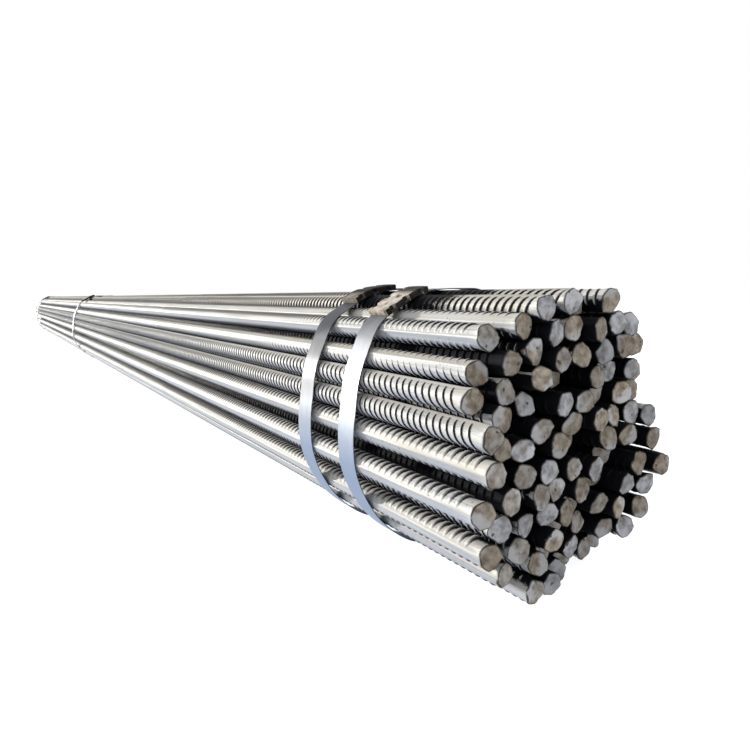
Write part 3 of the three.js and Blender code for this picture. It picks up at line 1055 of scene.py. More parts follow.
@dataclass
class RibbedBar:
    """One reinforcing bar: its rolled core, its ribs and its two sheared ends.

    The reach tells how open its side is to the outside, at even steps round it. A factor on that, for the
    bar's front stretch, sets how far the steel is rubbed and lit there, partly wear and partly painted light,
    and where painted shade lies. Further back the bar is lighter all round, partly wear from handling and
    partly less painted shade: from a place along X on, ever more over some length. A half-hidden bar has
    coarse ribs all along its -Y side. Each ring of a cut face has its depth from the cut and its share of the
    section, and each rib's grid has its points along the arc and over the foot.
    """

    place: BarPlace
    outer: bool
    passed: RollPass
    front_cut: ShearCut
    rear_cut: ShearCut
    tone: float
    reach: np.ndarray
    wear_and_light: float
    fine_stretch: float
    half_hidden: bool
    core_radius: float = 11.7 * MM
    core_steps: int = 12
    face_rings: tuple[tuple[float, float], ...] = ((0, 0.3), (0, 0.6), (0, 0.86), (0, 0.95), (0.6 * MM, 1))
    neck_rings: tuple[float, ...] = (4 * MM, 9 * MM, 17 * MM, 60 * MM)
    middle_rings: int = 7
    burr: float = 0.85
    burr_from: float = 0.9
    rib_foot: float = 6.2 * MM
    rib_crest: float = 1.4 * MM
    fine_grid: tuple[int, int] = (10, 4)
    coarse_grid: tuple[int, int] = (6, 3)
    row_half_width: float = math.radians(60)
    crest_shift: float = 0.3
    least_shown: float = 0.03
    long_rib_height: float = 1.1 * MM
    long_rib_width: float = 1.8 * MM
    # Rib crests are lighter, even in the gaps between bars: partly rubbed, partly a painted highlight.
    crest_rub_and_light: float = 0.8
    # From here back the bar is lighter all round: partly wear from handling, partly less painted shade.
    handled_to: float = 2.5
    handled_over: float = 1.6
    handled_reach: float = 0.3
    least_reach: float = 0.005
    end_margin: float = 4.5 * MM
    hidden_stretch: float = 150 * MM

    def shows(self, row: int) -> bool:
        """Tells whether a row of crescents shows from outside the pack.

        Args:
            row: The row, 0 or 1.

        Returns:
            True if the outside is open enough to it.
        """
        steps = len(self.reach)
        away = np.arange(steps) * 2 * math.pi / steps - self.passed.row_centre(row)
        reached = self.reach[np.cos(away) > math.cos(self.row_half_width)].mean()
        return bool(reached > self.least_shown)

    def runs(self) -> list[RibRun]:
        """Lists the runs of ribs that the bar gets.

        A row that faces into the pack has ribs only near the ends, and one that shows through a gap has
        coarse ones.

        Returns:
            The runs, from the rear of each row.
        """
        total = int((self.place.length - 2 * self.end_margin) / self.passed.pitch)
        stretches = self.fine_stretch, self.hidden_stretch
        fine, near = (int(stretch / self.passed.pitch) for stretch in stretches)
        made = []
        for row in (0, 1):
            if self.half_hidden and math.cos(self.passed.row_centre(row)) < 0:
                made.append(RibRun(row, 0, total, False))
            elif self.outer and self.shows(row):
                made += [RibRun(row, 0, total - fine, False), RibRun(row, total - fine, fine, True)]
            else:
                made += [RibRun(row, 0, near, False), RibRun(row, total - near, near, False)]
        return made

    def section(self) -> tuple[np.ndarray, np.ndarray]:
        """Gives the core's section, whose two lengthwise ribs stand at +Z and -Z.

        Returns:
            The angle and the radius of each of its points.
        """
        crest = self.long_rib_width / 2 / self.core_radius
        foot = crest + self.long_rib_height / self.core_radius
        angles, radii = [], []
        for rib in (math.pi / 2, -math.pi / 2):
            top = self.core_radius + self.long_rib_height
            angles += [rib - foot, rib - crest, rib + crest, rib + foot]
            radii += [self.core_radius, top, top, self.core_radius]
            between = np.linspace(rib + foot, rib + math.pi - foot, self.core_steps)[1:-1]
            angles += between.tolist()
            radii += [self.core_radius] * len(between)
        return np.array(angles), np.array(radii)

    def stations(self) -> list[tuple[float, float]]:
        """Lists the core's rings.

        Returns:
            The place along the bar and the share of the section's size of each.
        """
        half = self.place.length / 2
        end = [*self.face_rings, *((depth, 1.0) for depth in self.neck_rings)]
        rear = [(depth - half, share) for depth, share in end]
        front = [(half - depth, share) for depth, share in reversed(end)]
        middle = [(at, 1.0) for at in np.linspace(-half, half, self.middle_rings)[1:-1]]
        return rear + middle + front

    def core(self) -> bpy.types.Mesh:
        """Builds the core along the X axis, with its cut faces marked.

        Returns:
            The core's mesh.
        """
        angles, radii = self.section()
        rings = self.stations()
        sides = len(angles)
        ring = np.column_stack([np.cos(angles), np.sin(angles)]) * radii[:, None]
        points = [np.column_stack([np.full(sides, at), ring * share]) for at, share in rings]
        middles = [(rings[0][0], 0.0, 0.0), (rings[-1][0], 0.0, 0.0)]
        faces = tube_faces(len(rings), sides)
        rear_middle = len(rings) * sides
        last = (len(rings) - 1) * sides
        for side in range(sides):
            after = (side + 1) % sides
            faces.append((rear_middle, after, side))
            faces.append((rear_middle + 1, last + side, last + after))
        mesh = bpy.data.meshes.new("core")
        mesh.from_pydata(np.vstack([*points, middles]).tolist(), [], faces)
        cut_rings = len(self.face_rings) - 1
        cut = np.zeros(len(faces), dtype=bool)
        cut[: cut_rings * sides] = True
        cut[(len(rings) - 1 - cut_rings) * sides :] = True
        mesh.attributes.new("cut_face", "BOOLEAN", "FACE").data.foreach_set("value", cut)
        burred = [self.burr if share > self.burr_from else 0.0 for _, share in rings]
        burred = np.repeat(burred, sides)
        set_floats(mesh, "rim", np.append(burred, [0.0, 0.0]))
        mesh.polygons.foreach_set("material_index", cut.astype(np.int32))
        return mesh

    def ribbed(
        self, roller: RibRoller, steel: bpy.types.Material, cut_steel: bpy.types.Material
    ) -> bpy.types.Mesh:
        """Rolls the ribs on the core.

        Args:
            roller: The ribs' node tree.
            steel: The material of the rolled sides.
            cut_steel: The material of the cut faces.

        Returns:
            The ribbed bar as a plain mesh along the X axis.
        """
        core = self.core()
        core.materials.append(steel)
        core.materials.append(cut_steel)
        bar = bpy.data.objects.new("rolling", core)
        bpy.context.scene.collection.objects.link(bar)
        pitch = self.passed.pitch
        rear_rib = self.end_margin - self.place.length / 2
        for run in self.runs():
            arc_points, foot_points = self.fine_grid if run.fine else self.coarse_grid
            roller.roll(
                bar,
                core_radius=self.core_radius,
                rib_height=self.passed.height,
                rib_foot=self.rib_foot,
                rib_crest=self.rib_crest,
                rib_half_span=math.radians(self.passed.half_spans[run.row]),
                fade_power=self.passed.fade_power,
                flank_stretch=self.passed.flank_stretch,
                crest_shift=0.0 if run.fine else self.crest_shift,
                rib_advance=self.core_radius * math.tan(math.radians(self.passed.lean)),
                step=pitch,
                first_turn=run.row * math.pi,
                first_rib=rear_rib + (run.first + run.row / 2) * pitch,
                rib_count=run.count,
                arc_points=arc_points,
                foot_points=foot_points,
                steel=steel,
            )
        evaluated = bar.evaluated_get(bpy.context.evaluated_depsgraph_get())
        mesh = bpy.data.meshes.new_from_object(evaluated)
        bar.modifiers.clear()
        bpy.data.objects.remove(bar)
        bpy.data.meshes.remove(core)
        return mesh

    def build(
        self, roller: RibRoller, steel: bpy.types.Material, cut_steel: bpy.types.Material
    ) -> bpy.types.Object:
        """Makes the bar and lays it in its place.

        Args:
            roller: The ribs' node tree.
            steel: The material of the rolled sides.
            cut_steel: The material of the cut faces.

        Returns:
            The bar's piece.
        """
        mesh = self.ribbed(roller, steel, cut_steel)
        points = coordinates(mesh)
        half = self.place.length / 2
        self.front_cut.shape(points, half - points[:, 0], self.core_radius, 1)
        self.rear_cut.shape(points, points[:, 0] + half, self.core_radius, -1)
        turn = math.radians(90 - self.passed.rib_angle)
        y = points[:, 1] * math.cos(turn) - points[:, 2] * math.sin(turn)
        z = points[:, 1] * math.sin(turn) + points[:, 2] * math.cos(turn)
        middle = (self.place.front + self.place.rear) / 2
        laid = np.column_stack([points[:, 0] + middle, y + self.place.y, z + self.place.z])
        mesh.vertices.foreach_set("co", laid.ravel())
        cuts = (cut.from_blade(y, z, self.core_radius) for cut in (self.front_cut, self.rear_cut))
        set_floats(mesh, "blade", np.where(points[:, 0] > 0, *cuts))
        self.mark_wear_and_shade(mesh, laid[:, 0], y, z)
        soften(mesh, sharp_over=58)
        name = f"bar_{self.place.layer:02d}_{self.place.number:02d}"
        mesh.name = name
        return add_piece(name, mesh, f"bar_layer_{self.place.layer:02d}")

    def mark_wear_and_shade(self, mesh: bpy.types.Mesh, x: np.ndarray, y: np.ndarray, z: np.ndarray) -> None:
        """Marks how far the bar's steel is rubbed and lit, partly wear and partly painted light, so where
        painted shade lies, and its own tone.

        Args:
            mesh: The bar's mesh.
            x: Where each of its points lies along the pack.
            y: How far each lies from the bar's axis to +Y.
            z: How far each lies over the bar's axis.
        """
        # The reach round the bar, its openness to the outside, is the mask of the painted shade between the
        # bars.
        steps = len(self.reach)
        around = np.arctan2(z, y) / (2 * math.pi) * steps
        closed = np.append(self.reach, self.reach[0])
        reached = np.interp(around % steps, np.arange(steps + 1), closed)
        # Crests lighter than the core round them: partly rubbed, partly a painted highlight.
        crest = np.clip((np.hypot(y, z) - self.core_radius) / self.passed.height, 0, 1)
        rubbed_and_lit = reached + self.crest_rub_and_light * crest * np.clip(reached / self.least_reach, 0, 1)
        # Lighter toward the rear: partly wear from handling, partly less painted shade.
        handled_and_lit = np.clip((self.handled_to - x) / self.handled_over, 0, 1)
        worn = rubbed_and_lit * (handled_and_lit + self.wear_and_light * (1 - handled_and_lit)) + self.handled_reach * handled_and_lit
        set_floats(mesh, "reach", worn)
        set_floats(mesh, "handled_and_lit", handled_and_lit)
        set_floats(mesh, "tone", np.full(len(x), self.tone))


@dataclass
class BarPack:
    """All the bars of the bundle, layer by layer.

    The bars whose ribs or cut ends show first have their pass and their cut given here. A pass is given in
    the order of RollPass, without its pitch, and a cut as its tint and its tone, from dark to light. A factor
    on the painted shade is given for a few bars in the gaps: a small one keeps them in near-black painted
    shade, a large one lightens them with painted light.
    """

    nodes: dict[str, bpy.types.Object]
    seals: tuple[Vector, ...]
    shown_passes: dict[BarNumber, tuple[float, float, tuple[float, float], float, float, float]] = field(
        default_factory=lambda: {
            (13, 1): (82, -26, (84, 84), 4.0, 1.2, 1.9 * MM),
            (13, 2): (96, -26, (84, 84), 4.0, 1.2, 1.9 * MM),
            (12, 1): (12, -14, (62, 62), 2.0, 1.0, 1.6 * MM),
            (11, 1): (2, -10, (88, 66), 1.8, 1.5, 2.1 * MM),
            (10, 2): (-62, 8, (71, 71), 2.0, 1.0, 1.8 * MM),
            (10, 1): (34, 18, (88, 88), 1.8, 1.0, 1.5 * MM),
            (9, 1): (88, 22, (84, 84), 4.0, 0.8, 1.5 * MM),
            (8, 2): (78, 6, (80, 80), 3.0, 1.0, 1.8 * MM),
            (8, 1): (90, 22, (84, 84), 4.0, 0.8, 1.5 * MM),
            (7, 2): (40, 6, (71, 71), 2.0, 1.0, 1.8 * MM),
            (7, 1): (0, -6, (86, 46), 1.8, 1.9, 2.3 * MM),
            (5, 2): (95, 6, (71, 71), 2.0, 1.0, 1.8 * MM),
            (5, 1): (2, -6, (86, 46), 1.8, 1.9, 2.3 * MM),
            (4, 1): (50, 10, (71, 71), 2.0, 1.0, 1.8 * MM),
            (3, 1): (8, -6, (86, 46), 1.8, 1.9, 2.3 * MM),
            (2, 1): (8, 4, (84, 44), 1.8, 1.6, 2.1 * MM),
            (1, 2): (14, 4, (60, 40), 1.5, 1.0, 1.5 * MM),
            (1, 1): (14, 8, (60, 40), 1.5, 1.0, 1.5 * MM),
        }
    )
    # A factor on the painted shade of a gap bar's front: small keeps it in near-black painted shade, large
    # gives it painted light.
    wear_and_light: dict[BarNumber, float] = field(
        default_factory=lambda: {(5, 2): 0.03, (6, 1): 0.03, (10, 2): 0.03, (7, 2): 8.0, (8, 2): 8.0}
    )
    tint_shares: tuple[float, float, float] = (0.42, 0.36, 0.22)
    full_fine: float = 20 * MM
    near_fine: float = 1240 * MM
    far_fine: float = 320 * MM
    closest: frozenset[BarNumber] = frozenset({(8, 1), (9, 1)})
    half_hidden: frozenset[BarNumber] = frozenset({(5, 2), (7, 2), (8, 2), (10, 2)})
    shown_cuts: dict[BarNumber, tuple[CutTint, float]] = field(
        default_factory=lambda: {
            (13, 1): (CutTint.BLUED, 0.9),
            (13, 2): (CutTint.BLUED, 0.95),
            (12, 1): (CutTint.RUSTED, 0.5),
            (11, 1): (CutTint.BARE, 0.4),
            (10, 2): (CutTint.RUSTED, 0.15),
            (10, 1): (CutTint.RUSTED, 0.0),
            (9, 1): (CutTint.RUSTED, 0.45),
            (8, 2): (CutTint.RUSTED, 0.4),
            (8, 1): (CutTint.BARE, 0.3),
            (7, 2): (CutTint.RUSTED, 0.3),
            (7, 1): (CutTint.BARE, 0.75),
            (5, 1): (CutTint.RUSTED, 0.5),
            (4, 1): (CutTint.BLUED, 0.7),
            (3, 1): (CutTint.RUSTED, 0.25),
            (2, 1): (CutTint.BARE, 0.65),
            (1, 1): (CutTint.BARE, 0.7),
        }
    )
    places: list[BarPlace] = field(init=False)

    def __post_init__(self) -> None:
        """Reads the bars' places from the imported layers."""
        layers = sorted(name for name in self.nodes if name.startswith("bar_layer_"))
        self.places = [p for at, name in enumerate(layers, 1) for p in places_in(at, self.nodes[name])]

    def roll_pass(self, place: BarPlace, rng: np.random.Generator) -> RollPass:
        """Draws a bar's pass through the rolls, or takes it from the bars whose ribs show first.

        Args:
            place: The bar's place.
            rng: The generator of random numbers.

        Returns:
            The bar's pass.
        """
        drawn = rng.uniform(0, 180), rng.uniform(-8, 20), (72.0, 72.0), 2.5, 1.0, 1.7 * MM
        passed = self.shown_passes.get((place.layer, place.number), drawn)
        return RollPass(*passed, pitch=rng.uniform(10.5, 11.3) * MM)

    def fine_stretch(self, place: BarPlace) -> float:
        """Tells how long the finely made stretch of a bar's ribs is, which is short on the +Y side.

        Args:
            place: The bar's place.

        Returns:
            The stretch's length, back from the front end.
        """
        if (place.layer, place.number) in self.closest:
            return place.length - self.full_fine
        return self.near_fine if place.y < 0 else self.far_fine

    def build(self) -> list[bpy.types.Object]:
        """Makes every bar of the pack.

        Returns:
            The bars' pieces.
        """
        rng = np.random.default_rng(SEED)
        roller = RibRoller()
        steel = HotRolledScale(self.seals).material()
        cuts = {tint: ShearedSteel(tint).material() for tint in CutTint}
        pieces = []
        for place in self.places:
            radius = RibbedBar.core_radius
            number = (place.layer, place.number)
            passed = self.roll_pass(place, rng)
            front_cut, rear_cut = ShearCut.draw(rng, radius), ShearCut.draw(rng, radius)
            drawn_tone = rng.uniform()
            drawn_tint = list(CutTint)[int(rng.choice(len(CutTint), p=self.tint_shares))]
            tint, tone = self.shown_cuts.get(number, (drawn_tint, drawn_tone))
            bar = RibbedBar(
                place=place,
                outer=is_outer(place, self.places) or number in self.shown_passes,
                passed=passed,
                front_cut=front_cut,
                rear_cut=rear_cut,
                tone=tone,
                reach=reach_round(place, self.places),
                wear_and_light=self.wear_and_light.get(number, 1.0),
                fine_stretch=self.fine_stretch(place),
                half_hidden=number in self.half_hidden,
            )
            pieces.append(bar.build(roller, steel, cuts[tint]))
        return pieces


# ---- The straps ----


@dataclass
class PackLoop:
    """The tight loop round the bars' outsides, seen along the X axis, as a closed chain of points.

    It bows out a little between bars, apart from along the flat top and bottom, and turns softly.
    """

    places: list[BarPlace]
    clearance: float = 0.9 * MM
    arc_step: float = 6.0
    rounding: int = 3
    span_step: float = 4 * MM
    bow: float = 0.045
    bow_within: float = 0.85
    points: np.ndarray = field(init=False)
    normals: np.ndarray = field(init=False)
    lengths: np.ndarray = field(init=False)

    def __post_init__(self) -> None:
        """Draws the loop, evenly stepped, with the way out at each of its points."""
        corners = self.hull()
        chain = []
        for here, after in zip(corners, np.roll(corners, -1, axis=0)):
            steps = max(1, round(np.linalg.norm(after - here) / self.span_step))
            ahead = after - here
            outward = np.array([ahead[1], -ahead[0]])
            upright = abs(outward[1]) < self.bow_within * np.linalg.norm(ahead)
            bow = self.bow if upright else 0.0
            for share in np.arange(steps) / steps:
                arch = 4 * share * (1 - share)
                chain.append(here + ahead * share + outward * bow * arch)
        self.points = self.rounded(np.array(chain))
        ahead = np.roll(self.points, -1, axis=0) - self.points
        way = ahead / np.linalg.norm(ahead, axis=1)[:, None]
        way = way + np.roll(way, 1, axis=0)
        way /= np.linalg.norm(way, axis=1)[:, None]
        self.normals = np.column_stack([way[:, 1], -way[:, 0]])
        self.lengths = np.concatenate([[0], np.cumsum(np.linalg.norm(ahead, axis=1))])

    def rounded(self, chain: np.ndarray) -> np.ndarray:
        """Rounds a closed chain off, as the strap's stiffness does, and steps it evenly.

        Args:
            chain: The chain's points.

        Returns:
            The rounded chain's points.
        """
        closed = np.vstack([chain, chain[:1]])
        steps = np.linalg.norm(np.diff(closed, axis=0), axis=1)
        lengths = np.concatenate([[0], np.cumsum(steps)])
        count = round(lengths[-1] / self.span_step)
        at = np.arange(count) * lengths[-1] / count
        even = np.column_stack([np.interp(at, lengths, closed[:, axis]) for axis in (0, 1)])
        shifts = range(-self.rounding, self.rounding + 1)
        return np.mean([np.roll(even, shift, axis=0) for shift in shifts], axis=0)

    def hull(self) -> np.ndarray:
        """Finds the corners of the convex loop round all bars.

        Returns:
            The corners, going round from the -Y side over the bottom.
        """
        radius = BAR_RADIUS + self.clearance
        angles = np.radians(np.arange(0, 360, self.arc_step))
        ring = np.column_stack([np.cos(angles), np.sin(angles)]) * radius
        cloud = sorted(tuple(spot) for p in self.places for spot in ring + (p.y, p.z))

        def half(ordered: list[tuple[float, float]]) -> list[tuple[float, float]]:
            """Walks along one side of the cloud, keeping only left turns.

            Args:
                ordered: The cloud's points, from one end to the other.

            Returns:
                The corners of that side, without the last.
            """
            chain: list[tuple[float, float]] = []
            for spot in ordered:
                while len(chain) > 1 and not turns_left(chain[-2], chain[-1], spot):
                    chain.pop()
                chain.append(spot)
            return chain[:-1]

        return np.array(half(cloud) + half(cloud[::-1]))

    def near(self, y: float, z: float) -> float:
        """Gives how far along the loop its nearest point to a place lies."""
        return float(self.lengths[np.argmin(np.linalg.norm(self.points - (y, z), axis=1))])

    def stretch(self, start: float, end: float, steps: int) -> tuple[np.ndarray, np.ndarray]:
        """Takes evenly spaced points from a stretch of the loop.

        Args:
            start: Where the stretch starts, along the loop.
            end: Where it ends.
            steps: How many steps it gets.

        Returns:
            The points and the way out at each.
        """
        at = np.linspace(start, end, steps + 1) % self.lengths[-1]
        closed = np.vstack([self.points, self.points[:1]])
        outs = np.vstack([self.normals, self.normals[:1]])
        points, normals = (
            np.column_stack([np.interp(at, self.lengths, values[:, axis]) for axis in (0, 1)])
            for values in (closed, outs)
        )
        return points, normals / np.linalg.norm(normals, axis=1)[:, None]


def turns_left(a: tuple[float, float], b: tuple[float, float], c: tuple[float, float]) -> bool:
    """Tells whether the way from a over b to c turns left."""
    least = 1e-9
    return (b[0] - a[0]) * (c[1] - a[1]) - (b[1] - a[1]) * (c[0] - a[0]) > least


def swept(points: np.ndarray, normals: np.ndarray, sections: np.ndarray, closed: bool) -> bpy.types.Mesh:
    """Sweeps sections along a path that lies across the X axis.

    Args:
        points: The path's points, in Y and Z.
        normals: The way out at each point.
        sections: For each point, the section's corners: their place along X and height over the path.
        closed: Whether the path is a loop. An open one gets a face at each end.

    Returns:
        The swept mesh, with its faces outward.
    """
    along, height = sections[:, :, 0], sections[:, :, 1]
    y = points[:, None, 0] + normals[:, None, 0] * height
    z = points[:, None, 1] + normals[:, None, 1] * height
    grid = np.stack([along, y, z], axis=2)
    rings, sides = along.shape
    faces = tube_faces(rings, sides)
    if closed:
        last = (rings - 1) * sides
        faces += [(last + s, last + (s + 1) % sides, (s + 1) % sides, s) for s in range(sides)]
    else:
        faces += [tuple(reversed(range(sides))), tuple(range((rings - 1) * sides, rings * sides))]
    mesh = bpy.data.meshes.new("band")
    mesh.from_pydata(grid.reshape(-1, 3).tolist(), [], faces)
    turn_out(mesh)
    return mesh


def turn_out(mesh: bpy.types.Mesh) -> None:
    """Turns a closed mesh's faces outward, by the sign of its volume.

    Args:
        mesh: The mesh, which this changes.
    """
    mesh.calc_loop_triangles()
    corners = coordinates(mesh)
    thirds = np.array([t.vertices for t in mesh.loop_triangles])
    a, b, c = (corners[thirds[:, at]] for at in range(3))
    if np.einsum("ij,ij->", a, np.cross(b, c)) < 0:
        mesh.flip_normals()


@dataclass(frozen=True)
class Sealing:
    """What each strap gets round its seal: how strong and how far its painted dark reflection lies, and how
    light the seal is.
    """

    dark_reflection: float = 0.8
    dark_reflection_reach: float = 75 * MM
    seal_tone: float = 1.0


STRAPS = {
    "front": Sealing(),
    "second": Sealing(dark_reflection=1.05, dark_reflection_reach=165 * MM, seal_tone=0.45),
    "middle": Sealing(),
    "rear": Sealing(),
}


@dataclass
class SteelStrap:
    """A galvanised strap round the pack, whose two ends overlap under its seal.

    It goes round at a slight lean, which is how far it strays each way along the pack. Its tail reaches up
    and down from the seal, over its other end, with a small gap. The painted dark reflection round the seal
    is gone at its fade, in reaches from the seal.
    """

    place: str
    loop: PackLoop
    sealing: Sealing
    width: float = 37 * MM
    thickness: float = 1 * MM
    edge_round: float = 0.35 * MM
    lean: float = 7 * MM
    lean_from: float = 0.15 * math.pi
    tail_up: float = 47 * MM
    tail_down: float = 25 * MM
    tail_gap: float = 0.1 * MM
    tail_steps: int = 24
    dark_reflection_fade: float = 1.35
    x: float = field(init=False)
    seal_at: float = field(init=False)

    def __post_init__(self) -> None:
        """Takes the strap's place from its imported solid, and the seal's from the seal's solid."""
        low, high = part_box(f"strap_{self.place}")
        self.x = (low.x + high.x) / 2
        low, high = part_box(f"strap_seal_{self.place}")
        self.seal_at = self.loop.near((low.y + high.y) / 2, (low.z + high.z) / 2)

    def section(self, at: np.ndarray, lift: float) -> np.ndarray:
        """Gives the strap's section at places along the loop.

        Args:
            at: The places along the loop.
            lift: How far the strap's inner face lies over the loop.

        Returns:
            For each place, the section's corners.
        """
        half, top = self.width / 2, self.thickness
        flat = half - self.edge_round
        inner = [(-flat, 0), (-half / 3, 0), (half / 3, 0), (flat, 0), (half, top / 2)]
        outer = [(flat, top), (half / 3, top), (-half / 3, top), (-flat, top), (-half, top / 2)]
        rings = np.tile(np.array(inner + outer), (len(at), 1, 1))
        turn = 2 * math.pi * at / self.loop.lengths[-1]
        rings[:, :, 0] += self.x + (self.lean * np.cos(turn - self.lean_from))[:, None]
        rings[:, :, 1] += lift
        return rings

    def build(self, zinc: bpy.types.Material) -> bpy.types.Object:
        """Makes the strap with its overlapping tail.

        Args:
            zinc: The strap's material.

        Returns:
            The strap's piece.
        """
        at = self.loop.lengths[:-1]
        band = swept(self.loop.points, self.loop.normals, self.section(at, 0.0), closed=True)
        start, end = self.seal_at - self.tail_up, self.seal_at + self.tail_down
        points, normals = self.loop.stretch(start, end, self.tail_steps)
        tail_at = np.linspace(start, end, self.tail_steps + 1)
        sections = self.section(tail_at, self.thickness + self.tail_gap)
        tail = swept(points, normals, sections, closed=False)
        mesh = joined_mesh(f"strap_{self.place}", band, tail)
        # Marks the strap's painted dark reflection round its seal.
        seal = self.loop.stretch(self.seal_at, self.seal_at, 1)[0][0]
        from_seal = np.linalg.norm(coordinates(mesh)[:, 1:] - seal, axis=1)
        near = np.clip(self.dark_reflection_fade - from_seal / self.sealing.dark_reflection_reach, 0, 1)
        set_floats(mesh, "dark_reflection", self.sealing.dark_reflection * near)
        mesh.materials.append(zinc)
        soften(mesh, sharp_over=40)
        return add_piece(f"band_{self.place}", mesh, f"strap_{self.place}")


@dataclass
class CrimpedSeal:
    """The open seal that locks a strap: a sheet folded round both layers, with notches in its edges."""

    strap: SteelStrap
    length: float = 64 * MM
    width: float = 41 * MM
    sheet: float = 1.1 * MM
    slack: float = 0.3 * MM
    skirt: float = 0.4 * MM
    fold: float = 1.2 * MM
    bulge: float = 4.5 * MM
    crown: float = 0.35 * MM
    crown_half: float = 0.45
    notches: int = 3
    notch_depth: float = 5 * MM
    notch_length: float = 7 * MM
    notch_slope: float = 0.8 * MM
    notch_sink: float = 0.5 * MM
    steps: int = 58

    def notch(self, along: np.ndarray) -> np.ndarray:
        """Gives how deep the notches press the edges in.

        Args:
            along: Places along the seal.

        Returns:
            For each place, a share from 0 to 1.
        """
        centres = (np.arange(self.notches) + 0.5) * self.length / self.notches
        nearest = np.min(np.abs(along[:, None] - centres), axis=1)
        return np.clip((self.notch_length / 2 - nearest) / self.notch_slope + 0.5, 0, 1)

    def profile(self) -> list[tuple[float, float, float]]:
        """Gives the corners of the seal's section.

        Returns:
            The share of the half width, the inset and the height of each, from the rear over the crown.
        """
        top = 2 * self.strap.thickness + self.slack + self.sheet + self.bulge
        rear = [(-1, 0, self.skirt), (-1, 0, top - self.fold), (-1, self.fold, top)]
        crown = [(share, 0, top + self.crown) for share in (-self.crown_half, self.crown_half)]
        front = [(-share, -inset, height) for share, inset, height in reversed(rear)]
        return rear + crown + front

    def build(self, rust: bpy.types.Material) -> bpy.types.Object:
        """Makes the seal.

        Args:
            rust: The seal's material.

        Returns:
            The seal's piece.
        """
        strap = self.strap
        start = strap.seal_at - self.length / 2
        points, normals = strap.loop.stretch(start, start + self.length, self.steps)
        along = np.linspace(0, self.length, self.steps + 1)
        pressed = self.notch(along)
        half = self.width / 2 - self.notch_depth * pressed
        sink = self.notch_sink * pressed
        x = strap.section(np.array([strap.seal_at]), 0.0)[0, :, 0].mean()
        rings = [
            np.column_stack([x + share * half + inset, np.full(len(along), height) - sink])
            for share, inset, height in self.profile()
        ]
        mesh = swept(points, normals, np.stack(rings, axis=1), closed=False)
        mesh.name = f"strap_seal_{strap.place}"
        mesh.materials.append(rust)
        set_floats(mesh, "tone", np.full(len(mesh.vertices), strap.sealing.seal_tone))
        soften(mesh, sharp_over=30)
        return add_piece(f"seal_{strap.place}", mesh, f"strap_seal_{strap.place}")


def joined_mesh(name: str, *meshes: bpy.types.Mesh) -> bpy.types.Mesh:
    """Joins meshes into one.

    Args:
        name: The new mesh's name.
        *meshes: The meshes, which this removes.

    Returns:
        The joined mesh.
    """
    points: list[list[float]] = []
    faces: list[list[int]] = []
    for mesh in meshes:
        shift = len(points)
        faces += [[shift + v for v in face.vertices] for face in mesh.polygons]
        points += coordinates(mesh).tolist()
        bpy.data.meshes.remove(mesh)
    made = bpy.data.meshes.new(name)
    made.from_pydata(points, [], faces)
    return made


# ---- The studio ----


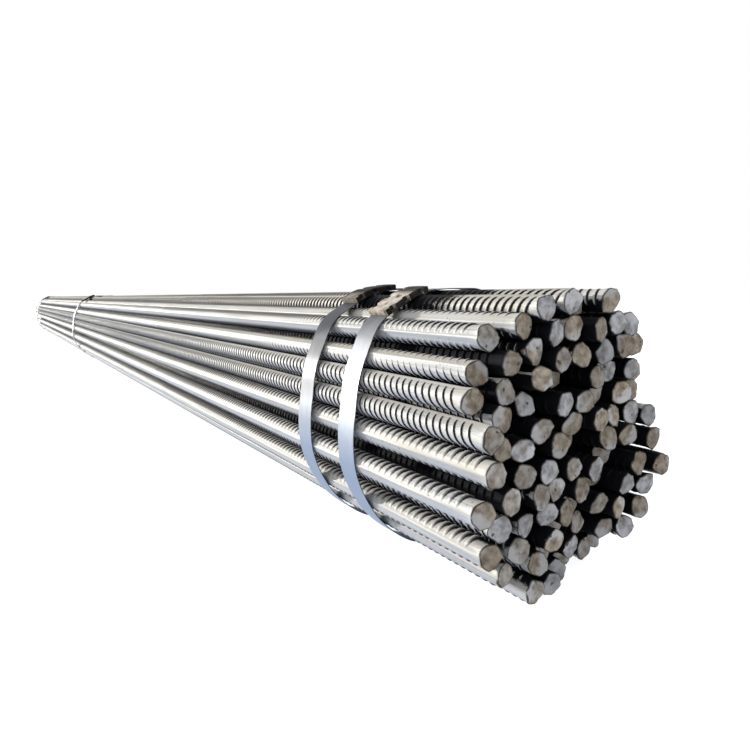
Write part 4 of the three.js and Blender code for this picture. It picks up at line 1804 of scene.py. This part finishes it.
@dataclass
class Studio:
    """The camera, the lights and the pale floor around the bundle."""

    camera_place: tuple[float, float, float] = (3.418, -0.4971, 0.3024)
    camera_forward: tuple[float, float, float] = (-0.8442, 0.5215, -0.1239)
    lens: float = 29.76
    sensor: float = 36.0
    key_from: tuple[float, float, float] = (-0.87, -0.47, 0.15)
    key_strength: float = 3.25
    key_angle: float = 4.0
    key_colour: str = "FFFBF5"
    fill_from: tuple[float, float, float] = (0.8, -0.6, 0.05)
    fill_level: float = 0.5
    room_levels: tuple[float, float] = (0.6, 0.47)
    room_colour: str = "EEF1F6"
    room_height: float = 0.8
    backdrop: str = "FFFFFF"
    paint: str = "E6E6E6"
    floor_glow: float = 0.8
    floor_half: float = 40.0

    def aimed(self, data: bpy.types.ID, axis: str, way: tuple[float, float, float]) -> bpy.types.Object:
        """Puts a camera or a lamp in the scene.

        Args:
            data: The camera or the lamp.
            axis: The axis of its own that is aimed.
            way: The way that this axis gets.

        Returns:
            Its object.
        """
        made = bpy.data.objects.new(data.name, data)
        made.rotation_mode = "QUATERNION"
        made.rotation_quaternion = Vector(way).to_track_quat(axis, "Y")
        bpy.context.scene.collection.objects.link(made)
        return made

    def camera(self) -> None:
        """Sets up the camera."""
        data = bpy.data.cameras.new("camera")
        data.lens = self.lens
        data.sensor_width = self.sensor
        data.clip_start = 10 * MM
        camera = self.aimed(data, "-Z", self.camera_forward)
        camera.location = self.camera_place
        bpy.context.scene.camera = camera

    def key(self) -> None:
        """Sets up the key light: broad, soft, low and far off, so it lights the whole length alike."""
        data = bpy.data.lights.new("key", "SUN")
        data.energy = self.key_strength
        data.color = linear(self.key_colour)[:3]
        data.angle = math.radians(self.key_angle)
        self.aimed(data, "Z", self.key_from)

    def seen(self, tree: bpy.types.NodeTree) -> bpy.types.Node:
        """Adds the nodes that tell what the camera sees from what lights the bundle.

        Args:
            tree: The tree of a material or the world.

        Returns:
            The node that gives 1 to what the camera sees itself, in gloss or through glass, and else 0.
        """
        path = add(tree, "ShaderNodeLightPath").outputs
        kinds = {0: path["Is Camera Ray"], 1: path["Is Glossy Ray"]}
        direct = add(tree, "ShaderNodeMath", kinds, operation="MAXIMUM")
        return add(tree, "ShaderNodeMath", {0: direct, 1: path["Is Transmission Ray"]}, operation="MAXIMUM")

    def world(self) -> None:
        """Sets up the even light of the room, which shows as plain white behind the bundle."""
        made = bpy.data.worlds.new("studio")
        made.use_nodes = True
        tree = made.node_tree
        tree.nodes.clear()
        direction = add(tree, "ShaderNodeTexCoord").outputs["Generated"]
        height = add(tree, "ShaderNodeSeparateXYZ", {0: direction}).outputs["Z"]
        low, high = self.room_levels
        levels = {"Value": height, "From Max": self.room_height, "To Min": low, "To Max": high}
        level = add(tree, "ShaderNodeMapRange", levels)
        facing = {0: direction, 1: self.fill_from}
        forward = add(tree, "ShaderNodeVectorMath", facing, operation="DOT_PRODUCT").outputs["Value"]
        fill = add(tree, "ShaderNodeMapRange", {"Value": forward, "To Max": self.fill_level})
        both = add(tree, "ShaderNodeMath", {0: level, 1: fill}, operation="ADD")
        room = add(tree, "ShaderNodeBackground", {"Color": linear(self.room_colour), "Strength": both})
        white = add(tree, "ShaderNodeBackground", {"Color": linear(self.backdrop), "Strength": 1.0})
        shown = add(tree, "ShaderNodeMixShader", {0: self.seen(tree), 1: room, 2: white})
        add(tree, "ShaderNodeOutputWorld", {"Surface": shown})
        bpy.context.scene.world = made

    def floor(self) -> None:
        """Lays the floor, which looks white and keeps the bundle's soft shadow."""
        half = self.floor_half
        corners = [(-half, -half, 0), (half, -half, 0), (half, half, 0), (-half, half, 0)]
        mesh = bpy.data.meshes.new("floor")
        mesh.from_pydata(corners, [], [(0, 1, 2, 3)])
        made = bpy.data.materials.new("painted_floor")
        made.use_nodes = True
        tree = made.node_tree
        tree.nodes.clear()
        paint = add(tree, "ShaderNodeBsdfDiffuse", {"Color": linear(self.paint)})
        glowing = {0: self.seen(tree), 1: self.floor_glow}
        lifted = add(tree, "ShaderNodeMath", glowing, operation="MULTIPLY")
        glow = add(tree, "ShaderNodeEmission", {"Color": linear(self.backdrop), "Strength": lifted})
        both = add(tree, "ShaderNodeAddShader", {0: paint, 1: glow})
        add(tree, "ShaderNodeOutputMaterial", {"Surface": both})
        mesh.materials.append(made)
        floor = bpy.data.objects.new("floor", mesh)
        bpy.context.scene.collection.objects.link(floor)

    def build(self) -> None:
        """Sets up the whole studio."""
        self.camera()
        self.key()
        self.world()
        self.floor()
        bpy.context.scene.view_settings.view_transform = "Standard"


def main() -> None:
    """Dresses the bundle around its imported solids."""
    logging.basicConfig(level=logging.INFO, format="%(message)s")
    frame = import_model()
    Studio().build()
    seals = tuple(sum(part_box(f"strap_seal_{place}"), Vector()) / 2 for place in STRAPS)
    pack = BarPack(frame["nodes"], seals)
    pack.build()
    zinc = GalvanisedBand().material()
    rust = RustedSeal().material()
    loop = PackLoop(pack.places)
    for place, sealing in STRAPS.items():
        strap = SteelStrap(place, loop, sealing)
        strap.build(zinc)
        CrimpedSeal(strap).build(rust)


if __name__ == "__main__":
    main()
